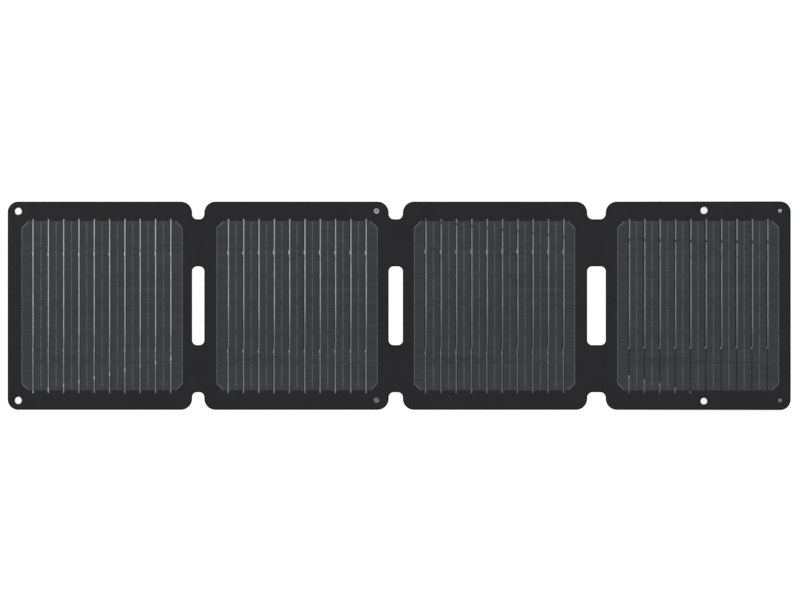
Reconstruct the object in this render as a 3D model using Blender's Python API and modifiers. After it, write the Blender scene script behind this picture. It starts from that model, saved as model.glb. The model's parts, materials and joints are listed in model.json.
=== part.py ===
"""A folding solar charger lying open on its back: four laminated solar panels in a row, joined by pairs of
hinge webs, with a small USB output box on the back of the fourth panel.

Units are metres and +Z is up. X runs along the row, from the first panel to the fourth, and Y runs up each
panel. Each panel, and each pair of webs, is drawn in its own coordinates and hung on an empty that stands on
its joint's axis. Panel coordinates start at the panel's left edge, halfway up it, on its back face.

The charger rolls up with its cells inside. The first panel folds face down onto the second, both fold onto
the third, and the fourth folds over them all. Every crease line lies in the plane of the front faces, and
each gap is wide enough for the panels that end up between its two sides.
"""

from itertools import product
from math import acos, asin, atan2, cos, degrees, hypot, pi, radians, sin

import bmesh
import bpy
from mathutils import Matrix, Vector

MM = 0.001

# Outline of the panels and of the gaps between them
PANEL_WIDTH = 206.6 * MM
PANEL_HEIGHT = 233.3 * MM
THICKNESS = 2.2 * MM
GAPS = (13.7 * MM, 15.9 * MM, 20.75 * MM)
OUTER_CORNER = 11.7 * MM
INNER_CORNER = 12.5 * MM
NOTCH_DEPTH = 19.75 * MM
NOTCH_FILLETS = (5.6 * MM, 5.9 * MM, 6.2 * MM)
SLOT_HALF = 44.1 * MM
SLOT_FILLET = 5.5 * MM

# Crease lines: how far each lies from the edge of the panel on its left and on its right
CREASES = ((0.9 * MM, 0.9 * MM), (0.3 * MM, 0.3 * MM), (2.0 * MM, 0.3 * MM))
CREASE_CLEARANCE = 0.15 * MM
WEB_THICKNESS = 0.8 * MM

# Layers of a panel, each from its lower to its upper face above the back of the panel
BACK_COVER = (0.0, 0.5 * MM)
CORE_BOARD = (0.55 * MM, 1.15 * MM)
FRONT_SKIN = (0.55 * MM, 2.0 * MM)
CELL_ARRAY = (1.6 * MM, 1.85 * MM)
RIBBON_GRID = (1.9 * MM, 2.0 * MM)
FRONT_FILM = (2.05 * MM, THICKNESS)
LAYER_GAP = 0.05 * MM
POCKET_GAP = 0.3 * MM
CORE_INSET = 6.0 * MM
CORE_HALF_HEIGHT = 100.0 * MM
CORE_CORNER = 4.0 * MM
FILM_INSET = 0.5 * MM

# Solar cells: one 182 mm wafer wide, cut into strips, and ten ribbons across them
CELL_WIDTH = 182.0 * MM
CELL_HALF_HEIGHT = 94.8 * MM
CELL_CHAMFER = 8.6 * MM
CELL_OFFSETS = (2.5 * MM, 0.7 * MM, -0.5 * MM, 0.0)
STRIP_COUNT = 6
STRIP_GAP = 0.5 * MM
STRIP_GROOVE = 0.15 * MM
RIBBON_COUNT = 10
RIBBON_PITCH = 17.16 * MM
RIBBON_WIDTH = 1.3 * MM
RIBBON_OVER_TOP = 2.3 * MM
RIBBON_UNDER_BOTTOM = 3.1 * MM
BAR_WIDTH = 2.0 * MM

# Eyelets and press studs, from their panel's left edge and middle
EYELET_PLACES = {1: (11.7 * MM, 106.0 * MM), 4: (109.7 * MM, 106.8 * MM)}
SOCKET_PLACE = (PANEL_WIDTH - 13.6 * MM, 106.0 * MM)
STUD_PLACE = (PANEL_WIDTH - 11.9 * MM, 106.0 * MM)
EYELET_FRONT_HOLE = 4.15 * MM
EYELET_BACK_HOLE = 5.0 * MM
SOCKET_FRONT_HOLE = 2.25 * MM
SOCKET_BACK_HOLE = 3.5 * MM
STUD_FRONT_HOLE = 1.75 * MM
STUD_BACK_HOLE = 3.3 * MM

# Flat conductor through each upper web
CONDUCTOR = (1.7 * MM, 1.9 * MM)
CONDUCTOR_HALF_WIDTH = 4.0 * MM
CONDUCTOR_Y = 70.0 * MM
CHANNEL_GAP = 0.05 * MM

# Output box, on the back of the fourth panel
BOX_X = (150.0 * MM, 198.0 * MM)
BOX_HALF_Y = 43.0 * MM
BOX_DEPTH = 9.6 * MM
BOX_CORNER = 6.0 * MM
BOX_WALL = 1.6 * MM
BOX_RIM = 1.0 * MM
BASE = (-1.05 * MM, -0.05 * MM)
GASKET = (-1.4 * MM, -1.1 * MM)
GASKET_INSETS = (0.4 * MM, 1.4 * MM)
COVER_TOP = -1.45 * MM
COVER_FLOOR = 1.4 * MM
BOARD = (-5.5 * MM, -4.5 * MM)
BOARD_X = (152.5 * MM, 194.2 * MM)
BOARD_HALF_Y = 33.5 * MM
SCREW_INSET = 5.4 * MM
BOSS_RADIUS = 2.6 * MM
PILOT_RADIUS = 1.15 * MM
PILOT_TOP = -3.4 * MM
SCREW_HOLE = 1.3 * MM
COUNTERBORE = (2.4 * MM, 0.9 * MM)
POST_RADIUS = 1.4 * MM
POST_XS = (156.0 * MM, 178.0 * MM)
POST_YS = (-29.0 * MM, 29.0 * MM)
BOSS_OVERLAP = 0.5 * MM
SCREW_HEAD_RADIUS = 2.1 * MM
SCREW_HEAD_HEIGHT = 0.8 * MM
SHANK_RADIUS = 0.9 * MM
SHANK_GAP = 0.6 * MM
LIGHT_PLACE = (163.0 * MM, 0.0)
LIGHT_RADIUS = 1.4 * MM
LIGHT_HOLE = 1.7 * MM
INDUCTOR_PLACE = (168.0 * MM, 15.0 * MM)
INDUCTOR_HALF_SIDE = 4.0 * MM
INDUCTOR_HEIGHT = 3.0 * MM
INDUCTOR_BEVEL = 0.6 * MM
CAPACITOR_PLACE = (166.0 * MM, -14.0 * MM)
CAPACITOR_RADIUS = 3.2 * MM
CAPACITOR_HEIGHT = 2.8 * MM

# USB sockets in the end wall of the box, and the rubber flaps over them
PORT_Z = -5.0 * MM
PORT_Y = 13.0 * MM
SOCKET_FACE = 197.6 * MM
USB_A = {"depth": 14.5 * MM, "half_y": 6.55 * MM, "half_z": 2.85 * MM, "wall": 0.3 * MM}
USB_A_BACK = 2.0 * MM
USB_A_TONGUE_HALF_Y = 5.55 * MM
USB_A_TONGUE_Z = (0.4 * MM, 2.2 * MM)
USB_A_TONGUE_DEPTH = 2.5 * MM
USB_C = {"depth": 7.35 * MM, "half_y": 4.47 * MM, "half_z": 1.63 * MM, "wall": 0.3 * MM}
USB_C_BACK = 1.2 * MM
USB_C_TONGUE_HALF_Y = 3.35 * MM
USB_C_TONGUE_HALF_Z = 0.35 * MM
USB_C_TONGUE_DEPTH = 1.6 * MM
PORT_GAP = 0.2 * MM
FLAP_X = (198.3 * MM, 199.8 * MM)
FLAP_Z = (-8.5 * MM, -1.9 * MM)
FLAP_NEAR = 3.2 * MM
FLAP_FAR = 21.5 * MM
FLAP_HINGE_Y = 2.85 * MM
FLAP_PLUG_FACE = 196.6 * MM
FLAP_PLUG_ROOT = 0.7 * MM
USB_A_PLUG = (5.6 * MM, 1.7 * MM)
USB_C_PLUG = (3.5 * MM, 0.85 * MM)
ANCHOR_HALF_Y = 2.5 * MM
ANCHOR_FOOT = 1.4 * MM
ANCHOR_BARB = 2.1 * MM
BARB_X = (BOX_X[1] - BOX_WALL - 1.5 * MM, BOX_X[1] - BOX_WALL - 0.3 * MM)

CORNER_STEPS = 8
FILLET_STEPS = 5
CIRCLE_STEPS = 24
SMALL_STEPS = 16
WELD = 0.001 * MM


def fourth_panel_tilt():
    """The angle at which the rounded lower edge of the output box meets the ground under the other panels."""
    across = BOX_X[0] + BOX_RIM + CREASES[2][1]
    down = BOX_DEPTH - BOX_RIM + THICKNESS
    return atan2(down, across) - asin((THICKNESS - BOX_RIM) / hypot(across, down))


TILT = fourth_panel_tilt()
FLAT_LEFTS = [
    index * PANEL_WIDTH + sum(GAPS[:index]) for index in range(4)
]
CREASE_4 = FLAT_LEFTS[3] - CREASES[2][1]
LENGTH = CREASE_4 + (PANEL_WIDTH + CREASES[2][1]) * cos(TILT) + THICKNESS * sin(TILT)
LEFTS = [left - LENGTH / 2 for left in FLAT_LEFTS]
NOTCH_FLOOR = PANEL_HEIGHT / 2 - NOTCH_DEPTH


# Scene, collections and materials

def clear_scene():
    for thing in list(bpy.data.objects):
        bpy.data.objects.remove(thing, do_unlink=True)


def add_collection(name):
    collection = bpy.data.collections.new(name)
    bpy.context.scene.collection.children.link(collection)
    return collection


def add_material(name, colour, roughness, metallic=0.0, alpha=1.0):
    material = bpy.data.materials.new(name)
    material.use_nodes = True
    shader = material.node_tree.nodes["Principled BSDF"]
    shader.inputs["Base Color"].default_value = (*colour, 1.0)
    shader.inputs["Roughness"].default_value = roughness
    shader.inputs["Metallic"].default_value = metallic
    shader.inputs["Alpha"].default_value = alpha
    return material


clear_scene()
PARTS = add_collection("solar_phone_charger")
CUTTERS = add_collection("cutters")
FABRIC = add_material("back_fabric", (0.02, 0.02, 0.022), 0.85)
BOARD_PLASTIC = add_material("core_board", (0.05, 0.05, 0.05), 0.7)
SKIN = add_material("black_skin", (0.023, 0.025, 0.027), 0.6)
WEB = add_material("hinge_web", (0.024, 0.025, 0.027), 0.7)
SILICON = add_material("solar_cell", (0.048, 0.051, 0.057), 0.4)
RIBBON = add_material("tinned_ribbon", (0.6, 0.6, 0.62), 0.3, 1.0)
FILM = add_material("clear_film", (0.9, 0.9, 0.9), 0.3, 0.0, 0.2)
METAL = add_material("nickel", (0.7, 0.7, 0.71), 0.25, 1.0)
BOX_PLASTIC = add_material("box_plastic", (0.02, 0.02, 0.021), 0.5)
RUBBER = add_material("black_rubber", (0.015, 0.015, 0.015), 0.8)
CIRCUIT = add_material("circuit_board", (0.02, 0.12, 0.05), 0.5)
COPPER = add_material("copper", (0.8, 0.45, 0.3), 0.35, 1.0)
LENS = add_material("light_lens", (0.75, 0.85, 0.8), 0.2)


# Bodies: an empty on each joint's axis

def add_body(name, axis_x, origin_x, tilt=0.0):
    """An empty on a crease at axis_x, and the step from it to the body's own origin at origin_x."""
    frame = bpy.data.objects.new(name + "_frame", None)
    frame.empty_display_size = 10 * MM
    frame.location = (axis_x, 0, THICKNESS)
    frame.rotation_euler = (0, -tilt, 0)
    PARTS.objects.link(frame)
    return frame, Vector((origin_x - axis_x, 0, -THICKNESS))


def place(thing, body, position=(0, 0, 0)):
    frame, step = body
    thing.parent = frame
    thing.location = step + Vector(position)
    return thing


def link(name, mesh, material, collection):
    thing = bpy.data.objects.new(name, mesh)
    if material:
        mesh.materials.append(material)
    collection.objects.link(thing)
    if collection is CUTTERS:
        thing.hide_render = True
        thing.display_type = "WIRE"
    return thing


# Outlines

def arc(centre, radius, start, end, steps):
    """Points from the start angle to the end angle, in degrees, with both ends."""
    angles = [radians(start + (end - start) * step / steps) for step in range(steps + 1)]
    return [(centre[0] + radius * cos(angle), centre[1] + radius * sin(angle)) for angle in angles]


def circle(centre, radius, steps=CIRCLE_STEPS):
    return arc(centre, radius, 0, 360 - 360 / steps, steps - 1)


def rounded_rectangle(low, high, left_radius, right_radius, right_side=(), left_side=()):
    """Anticlockwise from the lower left. Extra points may run up the right side and down the left side."""
    left, right = left_radius, right_radius
    return [
        *arc((low[0] + left, low[1] + left), left, 180, 270, CORNER_STEPS),
        *arc((high[0] - right, low[1] + right), right, 270, 360, CORNER_STEPS),
        *right_side,
        *arc((high[0] - right, high[1] - right), right, 0, 90, CORNER_STEPS),
        *arc((low[0] + left, high[1] - left), left, 90, 180, CORNER_STEPS),
        *left_side,
    ]


def tab_points(reach, notch_fillet):
    """How far two tabs stand past the panel's edge, up the whole side. Their ends run into the fillets."""
    low = degrees(acos((SLOT_FILLET - reach) / SLOT_FILLET))
    high = degrees(acos((notch_fillet - reach) / notch_fillet))
    upper = [
        *arc((SLOT_FILLET, SLOT_HALF - SLOT_FILLET), SLOT_FILLET, 180, 180 - low, FILLET_STEPS),
        *arc((notch_fillet, NOTCH_FLOOR + notch_fillet), notch_fillet, 180 + high, 180, FILLET_STEPS),
    ]
    return [(x, -y) for x, y in reversed(upper)] + upper


def panel_corners(number):
    """The radii of the panel's left and right corners."""
    left = OUTER_CORNER if number == 1 else INNER_CORNER
    right = OUTER_CORNER if number == 4 else INNER_CORNER
    return left, right


def panel_outline(number, inset=0.0):
    low = (inset, inset - PANEL_HEIGHT / 2)
    high = (PANEL_WIDTH - inset, PANEL_HEIGHT / 2 - inset)
    left, right = panel_corners(number)
    return rounded_rectangle(low, high, left - inset, right - inset)


def skin_outline(number):
    """The panel's outline, with tabs where a crease line stands off the panel's edge."""
    sides = [(), ()]
    for side, gap in ((0, number - 2), (1, number - 1)):
        if 0 <= gap < len(GAPS):
            reach = CREASES[gap][1 - side] - CREASE_CLEARANCE
            if reach > 3 * CREASE_CLEARANCE:
                sides[side] = tab_points(reach, NOTCH_FILLETS[gap])
    left_side = [(-x, y) for x, y in reversed(sides[0])]
    right_side = [(PANEL_WIDTH + x, y) for x, y in sides[1]]
    half = PANEL_HEIGHT / 2
    left, right = panel_corners(number)
    return rounded_rectangle((0, -half), (PANEL_WIDTH, half), left, right, right_side, left_side)


def web_outline(gap):
    """The upper web of a gap, from the gap's centre, with its ends flared into the notch and the slot."""
    half = GAPS[gap] / 2
    ends = (CREASES[gap][0] + CREASE_CLEARANCE - half, half - CREASES[gap][1] - CREASE_CLEARANCE)
    notch = NOTCH_FILLETS[gap]
    low = [degrees(asin((abs(end) - half + SLOT_FILLET) / SLOT_FILLET)) for end in ends]
    high = [degrees(asin((abs(end) - half + notch) / notch)) for end in ends]
    slot_x, slot_y = half - SLOT_FILLET, SLOT_HALF - SLOT_FILLET
    notch_x, notch_y = half - notch, NOTCH_FLOOR + notch
    return [
        *arc((-slot_x, slot_y), SLOT_FILLET, 90 + low[0], 90, FILLET_STEPS),
        *arc((slot_x, slot_y), SLOT_FILLET, 90, 90 - low[1], FILLET_STEPS),
        *arc((notch_x, notch_y), notch, 270 + high[1], 270, FILLET_STEPS),
        *arc((-notch_x, notch_y), notch, 270, 270 - high[0], FILLET_STEPS),
    ]


def chamfered_rectangle(half_x, half_y, chamfer):
    corner = [(half_x, half_y - chamfer), (half_x - chamfer, half_y)]
    return [
        *corner,
        *[(-x, y) for x, y in reversed(corner)],
        *[(-x, -y) for x, y in corner],
        *[(x, -y) for x, y in reversed(corner)],
    ]


# Solids

def plate(name, outline, holes, levels, material=None, collection=PARTS):
    """A flat sheet between two levels, filled from closed outlines. It stands on its own middle plane."""
    curve = bpy.data.curves.new(name, "CURVE")
    curve.dimensions = "2D"
    curve.fill_mode = "BOTH"
    curve.extrude = (levels[1] - levels[0]) / 2
    for ring in [outline, *holes]:
        spline = curve.splines.new("POLY")
        spline.points.add(len(ring) - 1)
        for point, (x, y) in zip(spline.points, ring):
            point.co = (x, y, 0, 1)
        spline.use_cyclic_u = True
    flat = bpy.data.objects.new(name + "_curve", curve)
    bpy.context.scene.collection.objects.link(flat)
    evaluated = flat.evaluated_get(bpy.context.evaluated_depsgraph_get())
    mesh = bpy.data.meshes.new_from_object(evaluated)
    bpy.data.objects.remove(flat, do_unlink=True)
    solid = bmesh.new()
    solid.from_mesh(mesh)
    bmesh.ops.remove_doubles(solid, verts=solid.verts, dist=WELD)
    bmesh.ops.translate(solid, verts=solid.verts, vec=(0, 0, (levels[0] + levels[1]) / 2))
    bmesh.ops.recalc_face_normals(solid, faces=solid.faces)
    solid.to_mesh(mesh)
    solid.free()
    return link(name, mesh, material, collection)


def block(name, low, high, material=None, collection=PARTS, bevel=0.0):
    """A box between two opposite corners."""
    size = [b - a for a, b in zip(low, high)]
    middle = [(a + b) / 2 for a, b in zip(low, high)]
    solid = bmesh.new()
    bmesh.ops.create_cube(solid, size=1.0, matrix=Matrix.LocRotScale(middle, None, size))
    mesh = bpy.data.meshes.new(name)
    solid.to_mesh(mesh)
    solid.free()
    thing = link(name, mesh, material, collection)
    if bevel:
        modifier = thing.modifiers.new("rounded_edges", "BEVEL")
        modifier.width = bevel
        modifier.segments = 2
    return thing


def cylinder(name, centre, radius, levels, material=None, collection=PARTS, steps=SMALL_STEPS):
    solid = bmesh.new()
    middle = Matrix.Translation((*centre, (levels[0] + levels[1]) / 2))
    bmesh.ops.create_cone(
        solid, cap_ends=True, segments=steps, radius1=radius, radius2=radius,
        depth=levels[1] - levels[0], matrix=middle,
    )
    mesh = bpy.data.meshes.new(name)
    solid.to_mesh(mesh)
    solid.free()
    mesh.shade_smooth()
    mesh.set_sharp_from_angle(angle=radians(40))
    return link(name, mesh, material, collection)


def turned(name, profile, closed, material):
    """A profile of (radius, height) in millimetres, down its outer side, turned about Z."""
    mesh = bpy.data.meshes.new(name)
    points = [(radius * MM, 0, height * MM) for radius, height in profile]
    edges = [(index, index + 1) for index in range(len(points) - 1)]
    if closed:
        edges.append((len(points) - 1, 0))
    mesh.from_pydata(points, edges, [])
    thing = link(name, mesh, material, PARTS)
    screw = thing.modifiers.new("turned", "SCREW")
    screw.axis = "Z"
    screw.angle = 2 * pi
    screw.steps = CIRCLE_STEPS
    screw.render_steps = CIRCLE_STEPS
    screw.use_merge_vertices = True
    screw.merge_threshold = WELD
    screw.use_smooth_shade = True
    return thing


def combine(thing, tool, operation, body):
    """Cut the tool from the piece, or join it on. The tool hangs on the same body."""
    place(tool, body)
    modifier = thing.modifiers.new(tool.name, "BOOLEAN")
    modifier.operation = operation
    modifier.solver = "EXACT"
    modifier.object = tool


def round_lower_rim(mesh, radius):
    """Round the sharp edge around the lowest flat face of a prism."""
    solid = bmesh.new()
    solid.from_mesh(mesh)
    bmesh.ops.dissolve_limit(solid, angle_limit=radians(0.5), verts=solid.verts, edges=solid.edges)
    lowest = min(vertex.co.z for vertex in solid.verts)
    rim = [edge for edge in solid.edges if max(vertex.co.z for vertex in edge.verts) < lowest + WELD]
    bmesh.ops.bevel(solid, geom=rim, offset=radius, segments=3, profile=0.5, affect="EDGES")
    solid.to_mesh(mesh)
    solid.free()


# Panels

def fastener_places(number):
    """The fastener on each panel: its place in the upper half and the radii of its holes."""
    if number in EYELET_PLACES:
        yield EYELET_PLACES[number], EYELET_FRONT_HOLE, EYELET_BACK_HOLE
    if number == 2:
        yield SOCKET_PLACE, SOCKET_FRONT_HOLE, SOCKET_BACK_HOLE
    if number == 4:
        yield STUD_PLACE, STUD_FRONT_HOLE, STUD_BACK_HOLE


def fastener_holes(number, back=False):
    holes = []
    for (x, y), front_radius, back_radius in fastener_places(number):
        radius = back_radius if back else front_radius
        holes += [circle((x, y), radius), circle((x, -y), radius)]
    return holes


def add_front_skin(number, body, cell_x):
    """The black skin: a tray over the core board, with a shallow recess for the cells and their ribbons."""
    skin = plate(f"front_skin_{number}", skin_outline(number), fastener_holes(number), FRONT_SKIN, SKIN)
    place(skin, body)
    side = CORE_INSET - POCKET_GAP
    top = CORE_HALF_HEIGHT + POCKET_GAP
    core_top = CORE_BOARD[1] + LAYER_GAP
    core = block(f"core_space_{number}", (side, -top, 0), (PANEL_WIDTH - side, top, core_top), None, CUTTERS)
    half_x = CELL_WIDTH / 2 + POCKET_GAP
    half_y = CELL_HALF_HEIGHT + POCKET_GAP
    cells = block(
        f"cell_space_{number}", (cell_x - half_x, -half_y, CELL_ARRAY[0] - LAYER_GAP),
        (cell_x + half_x, half_y, THICKNESS), None, CUTTERS,
    )
    half_x = (RIBBON_COUNT - 1) * RIBBON_PITCH / 2 + RIBBON_WIDTH / 2 + POCKET_GAP
    bottom, top = ribbon_ends()
    ribbons = block(
        f"ribbon_space_{number}",
        (cell_x - half_x, bottom - BAR_WIDTH - POCKET_GAP, RIBBON_GRID[0] - LAYER_GAP),
        (cell_x + half_x, top + BAR_WIDTH + POCKET_GAP, THICKNESS), None, CUTTERS,
    )
    for tool in (core, cells, ribbons):
        combine(skin, tool, "DIFFERENCE", body)


def add_cell_array(number, body, cell_x):
    """Strips of silicon, joined underneath where the next strip begins."""
    outline = chamfered_rectangle(CELL_WIDTH / 2, CELL_HALF_HEIGHT, CELL_CHAMFER)
    outline = [(cell_x + x, y) for x, y in outline]
    cells = place(plate(f"cell_array_{number}", outline, [], CELL_ARRAY, SILICON), body)
    strip = (2 * CELL_HALF_HEIGHT - (STRIP_COUNT - 1) * STRIP_GAP) / STRIP_COUNT
    for index in range(1, STRIP_COUNT):
        top = -CELL_HALF_HEIGHT + index * (strip + STRIP_GAP)
        groove = block(
            f"strip_groove_{number}_{index}",
            (cell_x - CELL_WIDTH, top - STRIP_GAP, CELL_ARRAY[1] - STRIP_GROOVE),
            (cell_x + CELL_WIDTH, top, THICKNESS), None, CUTTERS,
        )
        combine(cells, groove, "DIFFERENCE", body)


def ribbon_ends():
    return -CELL_HALF_HEIGHT - RIBBON_UNDER_BOTTOM, CELL_HALF_HEIGHT + RIBBON_OVER_TOP


def rectangle(low, high):
    return [low, (high[0], low[1]), high, (low[0], high[1])]


def add_ribbon_grid(number, body, cell_x):
    """Ten ribbons between a collector bar at the top and one at the bottom."""
    bottom, top = ribbon_ends()
    first = cell_x - (RIBBON_COUNT - 1) * RIBBON_PITCH / 2
    last = cell_x + (RIBBON_COUNT - 1) * RIBBON_PITCH / 2
    half = RIBBON_WIDTH / 2
    outline = rectangle((first - half, bottom - BAR_WIDTH), (last + half, top + BAR_WIDTH))
    windows = [
        rectangle((x + half, bottom), (x + RIBBON_PITCH - half, top))
        for x in (first + index * RIBBON_PITCH for index in range(RIBBON_COUNT - 1))
    ]
    place(plate(f"ribbon_grid_{number}", outline, windows, RIBBON_GRID, RIBBON), body)


def add_panel(number, body):
    cell_x = PANEL_WIDTH / 2 + CELL_OFFSETS[number - 1]
    back_holes = fastener_holes(number, back=True)
    place(plate(f"back_cover_{number}", panel_outline(number), back_holes, BACK_COVER, FABRIC), body)
    core_low = (CORE_INSET, -CORE_HALF_HEIGHT)
    core_high = (PANEL_WIDTH - CORE_INSET, CORE_HALF_HEIGHT)
    core_outline = rounded_rectangle(core_low, core_high, CORE_CORNER, CORE_CORNER)
    place(plate(f"core_board_{number}", core_outline, [], CORE_BOARD, BOARD_PLASTIC), body)
    add_front_skin(number, body, cell_x)
    add_cell_array(number, body, cell_x)
    add_ribbon_grid(number, body, cell_x)
    film_outline = panel_outline(number, FILM_INSET)
    place(plate(f"front_film_{number}", film_outline, fastener_holes(number), FRONT_FILM, FILM), body)


# Fasteners: profiles in millimetres above the panel's back face, down the outer side

EYELET_PROFILE = (
    (3.85, 2.65), (4.3, 2.65), (4.6, 2.45), (4.6, 2.25), (3.9, 2.25), (3.9, 0.45),
    (4.7, 0.45), (4.7, 0.15), (4.55, 0.05), (3.75, 0.05), (3.6, 0.2), (3.6, 2.45),
)
SOCKET_PROFILE = (
    (1.9, 2.7), (2.8, 2.7), (3.2, 2.5), (3.2, 2.25), (2.0, 2.25), (2.0, 0.45),
    (3.2, 0.45), (3.2, 0.15), (3.05, 0.05), (1.75, 0.05), (1.6, 0.2), (1.6, 2.4),
)
STUD_PROFILE = (
    (0.0, 3.7), (0.9, 3.7), (1.3, 3.4), (1.3, 3.1), (1.1, 2.8), (1.1, 2.6), (2.2, 2.6), (2.5, 2.45),
    (2.5, 2.25), (1.5, 2.25), (1.5, 0.45), (3.0, 0.45), (3.0, 0.15), (2.85, 0.05), (0.0, 0.05),
)


def add_fastener_pair(name, profile, closed, centre, body):
    for side, sign in (("upper", 1), ("lower", -1)):
        piece = turned(f"{name}_{side}", profile, closed, METAL)
        place(piece, body, (centre[0], sign * centre[1], 0))


# Hinge webs

def add_webs(gap, body):
    """Two webs over one gap. A flat conductor runs through a channel in the upper one."""
    number = gap + 1
    levels = (THICKNESS - WEB_THICKNESS, THICKNESS)
    outline = web_outline(gap)
    upper = place(plate(f"web_{number}_upper", outline, [], levels, WEB), body)
    mirrored = [(x, -y) for x, y in outline]
    place(plate(f"web_{number}_lower", mirrored, [], levels, WEB), body)
    half = GAPS[gap] / 2
    channel = block(
        f"channel_{number}",
        (-half, CONDUCTOR_Y - CONDUCTOR_HALF_WIDTH - CHANNEL_GAP, CONDUCTOR[0] - CHANNEL_GAP),
        (half, CONDUCTOR_Y + CONDUCTOR_HALF_WIDTH + CHANNEL_GAP, CONDUCTOR[1] + CHANNEL_GAP), None, CUTTERS,
    )
    combine(upper, channel, "DIFFERENCE", body)
    left = CREASES[gap][0] + CREASE_CLEARANCE - half
    right = half - CREASES[gap][1] - CREASE_CLEARANCE
    conductor = block(
        f"conductor_{number}", (left, CONDUCTOR_Y - CONDUCTOR_HALF_WIDTH, CONDUCTOR[0]),
        (right, CONDUCTOR_Y + CONDUCTOR_HALF_WIDTH, CONDUCTOR[1]), COPPER,
    )
    place(conductor, body)


# Output box

def box_outline(inset=0.0):
    low = (BOX_X[0] + inset, inset - BOX_HALF_Y)
    high = (BOX_X[1] - inset, BOX_HALF_Y - inset)
    return rounded_rectangle(low, high, BOX_CORNER - inset, BOX_CORNER - inset)


def screw_places():
    xs = (BOX_X[0] + SCREW_INSET, BOX_X[1] - SCREW_INSET)
    ys = (-BOX_HALF_Y + SCREW_INSET, BOX_HALF_Y - SCREW_INSET)
    return list(product(xs, ys))


def cover_inside():
    """The level of the cover's inner floor."""
    return -BOX_DEPTH + COVER_FLOOR


def add_box_base(body):
    """A plate against the back cover, with a boss for each screw and a post for each corner of the board."""
    base = place(plate("box_base", box_outline(), [], BASE, BOX_PLASTIC), body)
    root = BASE[0] + BOSS_OVERLAP
    for index, centre in enumerate(screw_places(), 1):
        levels = (cover_inside() + LAYER_GAP, root)
        boss = cylinder(f"screw_boss_{index}", centre, BOSS_RADIUS, levels, None, CUTTERS)
        combine(base, boss, "UNION", body)
        pilot = cylinder(f"pilot_{index}", centre, PILOT_RADIUS, (-BOX_DEPTH, PILOT_TOP), None, CUTTERS)
        combine(base, pilot, "DIFFERENCE", body)
    for index, centre in enumerate(product(POST_XS, POST_YS), 1):
        levels = (BOARD[1] + LAYER_GAP, root)
        post = cylinder(f"board_post_{index}", centre, POST_RADIUS, levels, None, CUTTERS)
        combine(base, post, "UNION", body)


def port_opening(name, half_y, half_z, y):
    """A cutter through the end wall, a little larger than what passes through it."""
    half_y += PORT_GAP
    half_z += PORT_GAP
    low = (BOX_X[1] - 3 * BOX_WALL, y - half_y, PORT_Z - half_z)
    high = (BOX_X[1] + BOX_WALL, y + half_y, PORT_Z + half_z)
    return block(name, low, high, None, CUTTERS)


def add_box_cover(body):
    """An open tray under the base, with its ports in the end wall and its screw holes in the floor."""
    cover = plate("box_cover", box_outline(), [], (-BOX_DEPTH, COVER_TOP), BOX_PLASTIC)
    round_lower_rim(cover.data, BOX_RIM)
    place(cover, body)
    tools = [plate("cover_inside", box_outline(BOX_WALL), [], (cover_inside(), 0), None, CUTTERS)]
    tools.append(port_opening("usb_a_opening", USB_A["half_y"], USB_A["half_z"], PORT_Y))
    tools.append(port_opening("usb_c_opening", USB_C["half_y"], USB_C["half_z"], -PORT_Y))
    tools.append(port_opening("anchor_opening", ANCHOR_FOOT, ANCHOR_FOOT, 0))
    tools.append(cylinder("light_opening", LIGHT_PLACE, LIGHT_HOLE, (-2 * BOX_DEPTH, 0), None, CUTTERS))
    for index, centre in enumerate(screw_places(), 1):
        through = (-2 * BOX_DEPTH, 0)
        tools.append(cylinder(f"screw_hole_{index}", centre, SCREW_HOLE, through, None, CUTTERS))
        seat = (-2 * BOX_DEPTH, -BOX_DEPTH + COUNTERBORE[1])
        tools.append(cylinder(f"screw_seat_{index}", centre, COUNTERBORE[0], seat, None, CUTTERS))
    for tool in tools:
        combine(cover, tool, "DIFFERENCE", body)


def add_screws(body):
    under_head = -BOX_DEPTH + COUNTERBORE[1] - LAYER_GAP
    head_levels = (under_head - SCREW_HEAD_HEIGHT, under_head)
    shank_levels = (under_head - SCREW_HEAD_HEIGHT / 2, PILOT_TOP - SHANK_GAP)
    for index, centre in enumerate(screw_places(), 1):
        screw = cylinder(f"box_screw_{index}", centre, SCREW_HEAD_RADIUS, head_levels, METAL)
        shank = cylinder(f"shank_{index}", centre, SHANK_RADIUS, shank_levels, None, CUTTERS)
        combine(screw, shank, "UNION", body)
        place(screw, body)


def add_circuit_board(body):
    """The board, with a notch at its front edge for each socket to sit in."""
    a_back = SOCKET_FACE - USB_A["depth"] - POCKET_GAP
    c_back = SOCKET_FACE - USB_C["depth"] - POCKET_GAP
    a_half = USB_A["half_y"] + POCKET_GAP
    c_half = USB_C["half_y"] + POCKET_GAP
    outline = [
        (BOARD_X[0], -BOARD_HALF_Y), (BOARD_X[1], -BOARD_HALF_Y),
        (BOARD_X[1], -PORT_Y - c_half), (c_back, -PORT_Y - c_half),
        (c_back, -PORT_Y + c_half), (BOARD_X[1], -PORT_Y + c_half),
        (BOARD_X[1], PORT_Y - a_half), (a_back, PORT_Y - a_half),
        (a_back, PORT_Y + a_half), (BOARD_X[1], PORT_Y + a_half),
        (BOARD_X[1], BOARD_HALF_Y), (BOARD_X[0], BOARD_HALF_Y),
    ]
    place(plate("circuit_board", outline, [], BOARD, CIRCUIT), body)


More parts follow.
